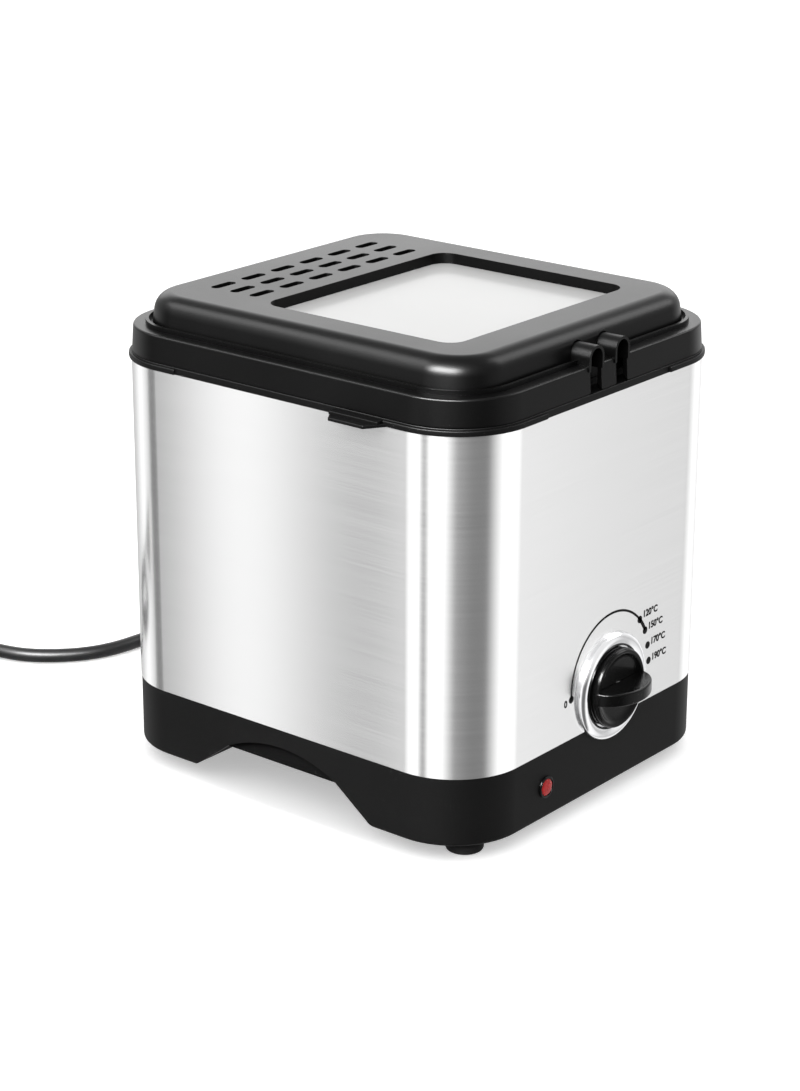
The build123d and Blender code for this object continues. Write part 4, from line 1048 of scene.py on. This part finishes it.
studio = Surroundings("studio")
outlook = studio.node("ShaderNodeTexCoord", out="Generated")
compass = studio.node("ShaderNodeTexGradient", {"gradient_type": "RADIAL"}, {"Vector": outlook}, out="Fac")
level = studio.node("ShaderNodeSeparateXYZ", None, {"Vector": outlook}, out="Z")
walls = studio.ramp(
    compass, (0.0, 0.85), (0.028, 1.0), (0.05, 0.9), (0.07, 0.65), (0.105, 0.18), (0.167, 0.13), (0.23, 0.14),
    (0.264, 0.55), (0.306, 1.0), (0.339, 1.0), (0.38, 0.85), (0.397, 0.72), (0.411, 0.42), (0.425, 0.6),
    (0.478, 0.95), (0.556, 0.6), (0.639, 0.3), (0.708, 0.5), (0.772, 0.9), (0.833, 0.5), (0.875, 0.5),
    (0.894, 0.6), (0.931, 1.0), (0.953, 1.0), (0.972, 0.1), (0.984, 0.1), (0.997, 0.85),
)
above = studio.ramp(level, (0.05, 0.0), (0.35, 1.0))
studio.set(
    Color=studio.tint(above, walls, (0.75, 0.75, 0.75)),
    Strength=1.5,
)
bpy.context.scene.view_settings.view_transform = "Standard"
table.visible_glossy = False
table.visible_shadow = False


def panel(name, place, target, width, height, radiance):
    """A soft box light that shows only as a glint."""
    data = bpy.data.lights.new(name, "AREA")
    data.shape = "RECTANGLE"
    data.size, data.size_y = width, height
    data.energy = radiance * pi * width * height
    light = bpy.data.objects.new(name, data)
    light.location = place
    light.rotation_mode = "QUATERNION"
    light.rotation_quaternion = (Vector(target) - Vector(place)).to_track_quat("-Z", "Y")
    light.visible_diffuse = False
    bpy.context.scene.collection.objects.link(light)


panel("rear_screen", (1.9, 1.55, 1.0), (0, 0, 0.2), 3.0, 1.2, 2.1)
panel("key", (-1.16, -0.2, 1.01), (-0.08, -0.07, 0.21), 1.3, 0.55, 190.0)
panel("right_fill", (1.1, -0.55, 1.05), (0, -0.09, 0.2), 0.5, 0.8, 9.0)
panel("left_fill", (-0.6, 0.95, 1.2), (-0.09, 0, 0.2), 0.8, 0.5, 14.0)

side_card = bpy.data.meshes.new("side_card")
bm = bmesh.new()
bmesh.ops.create_grid(bm, x_segments=1, y_segments=1, size=0.5)
bmesh.ops.rotate(bm, matrix=Matrix.Rotation(pi / 2, 3, "Y"), verts=bm.verts)
bmesh.ops.scale(bm, vec=(1, 0.5, 1.2), verts=bm.verts)
bmesh.ops.translate(bm, vec=(-0.445, 0.47, -0.2), verts=bm.verts)
bm.to_mesh(side_card)
bm.free()
card = bpy.data.objects.new("side_card", side_card)
bpy.context.scene.collection.objects.link(card)
sheet = Finish("card_glow", Specular_IOR_Level=0.0, Base_Color=(0, 0, 0, 1), Emission_Strength=1.7)
run = sheet.node("ShaderNodeSeparateXYZ", None, {"Vector": sheet.place()}, out="Y")
sheet.set(Emission_Color=sheet.ramp(
    run, (0.21, 0.42), (0.245, 0.07), (0.29, 0.38), (0.35, 0.94), (0.375, 0.8), (0.41, 0.24), (0.44, 0.1),
    (0.5, 0.1),
))
side_card.materials.append(sheet.material)
for sight in ("visible_camera", "visible_diffuse", "visible_shadow", "visible_transmission"):
    setattr(card, sight, False)
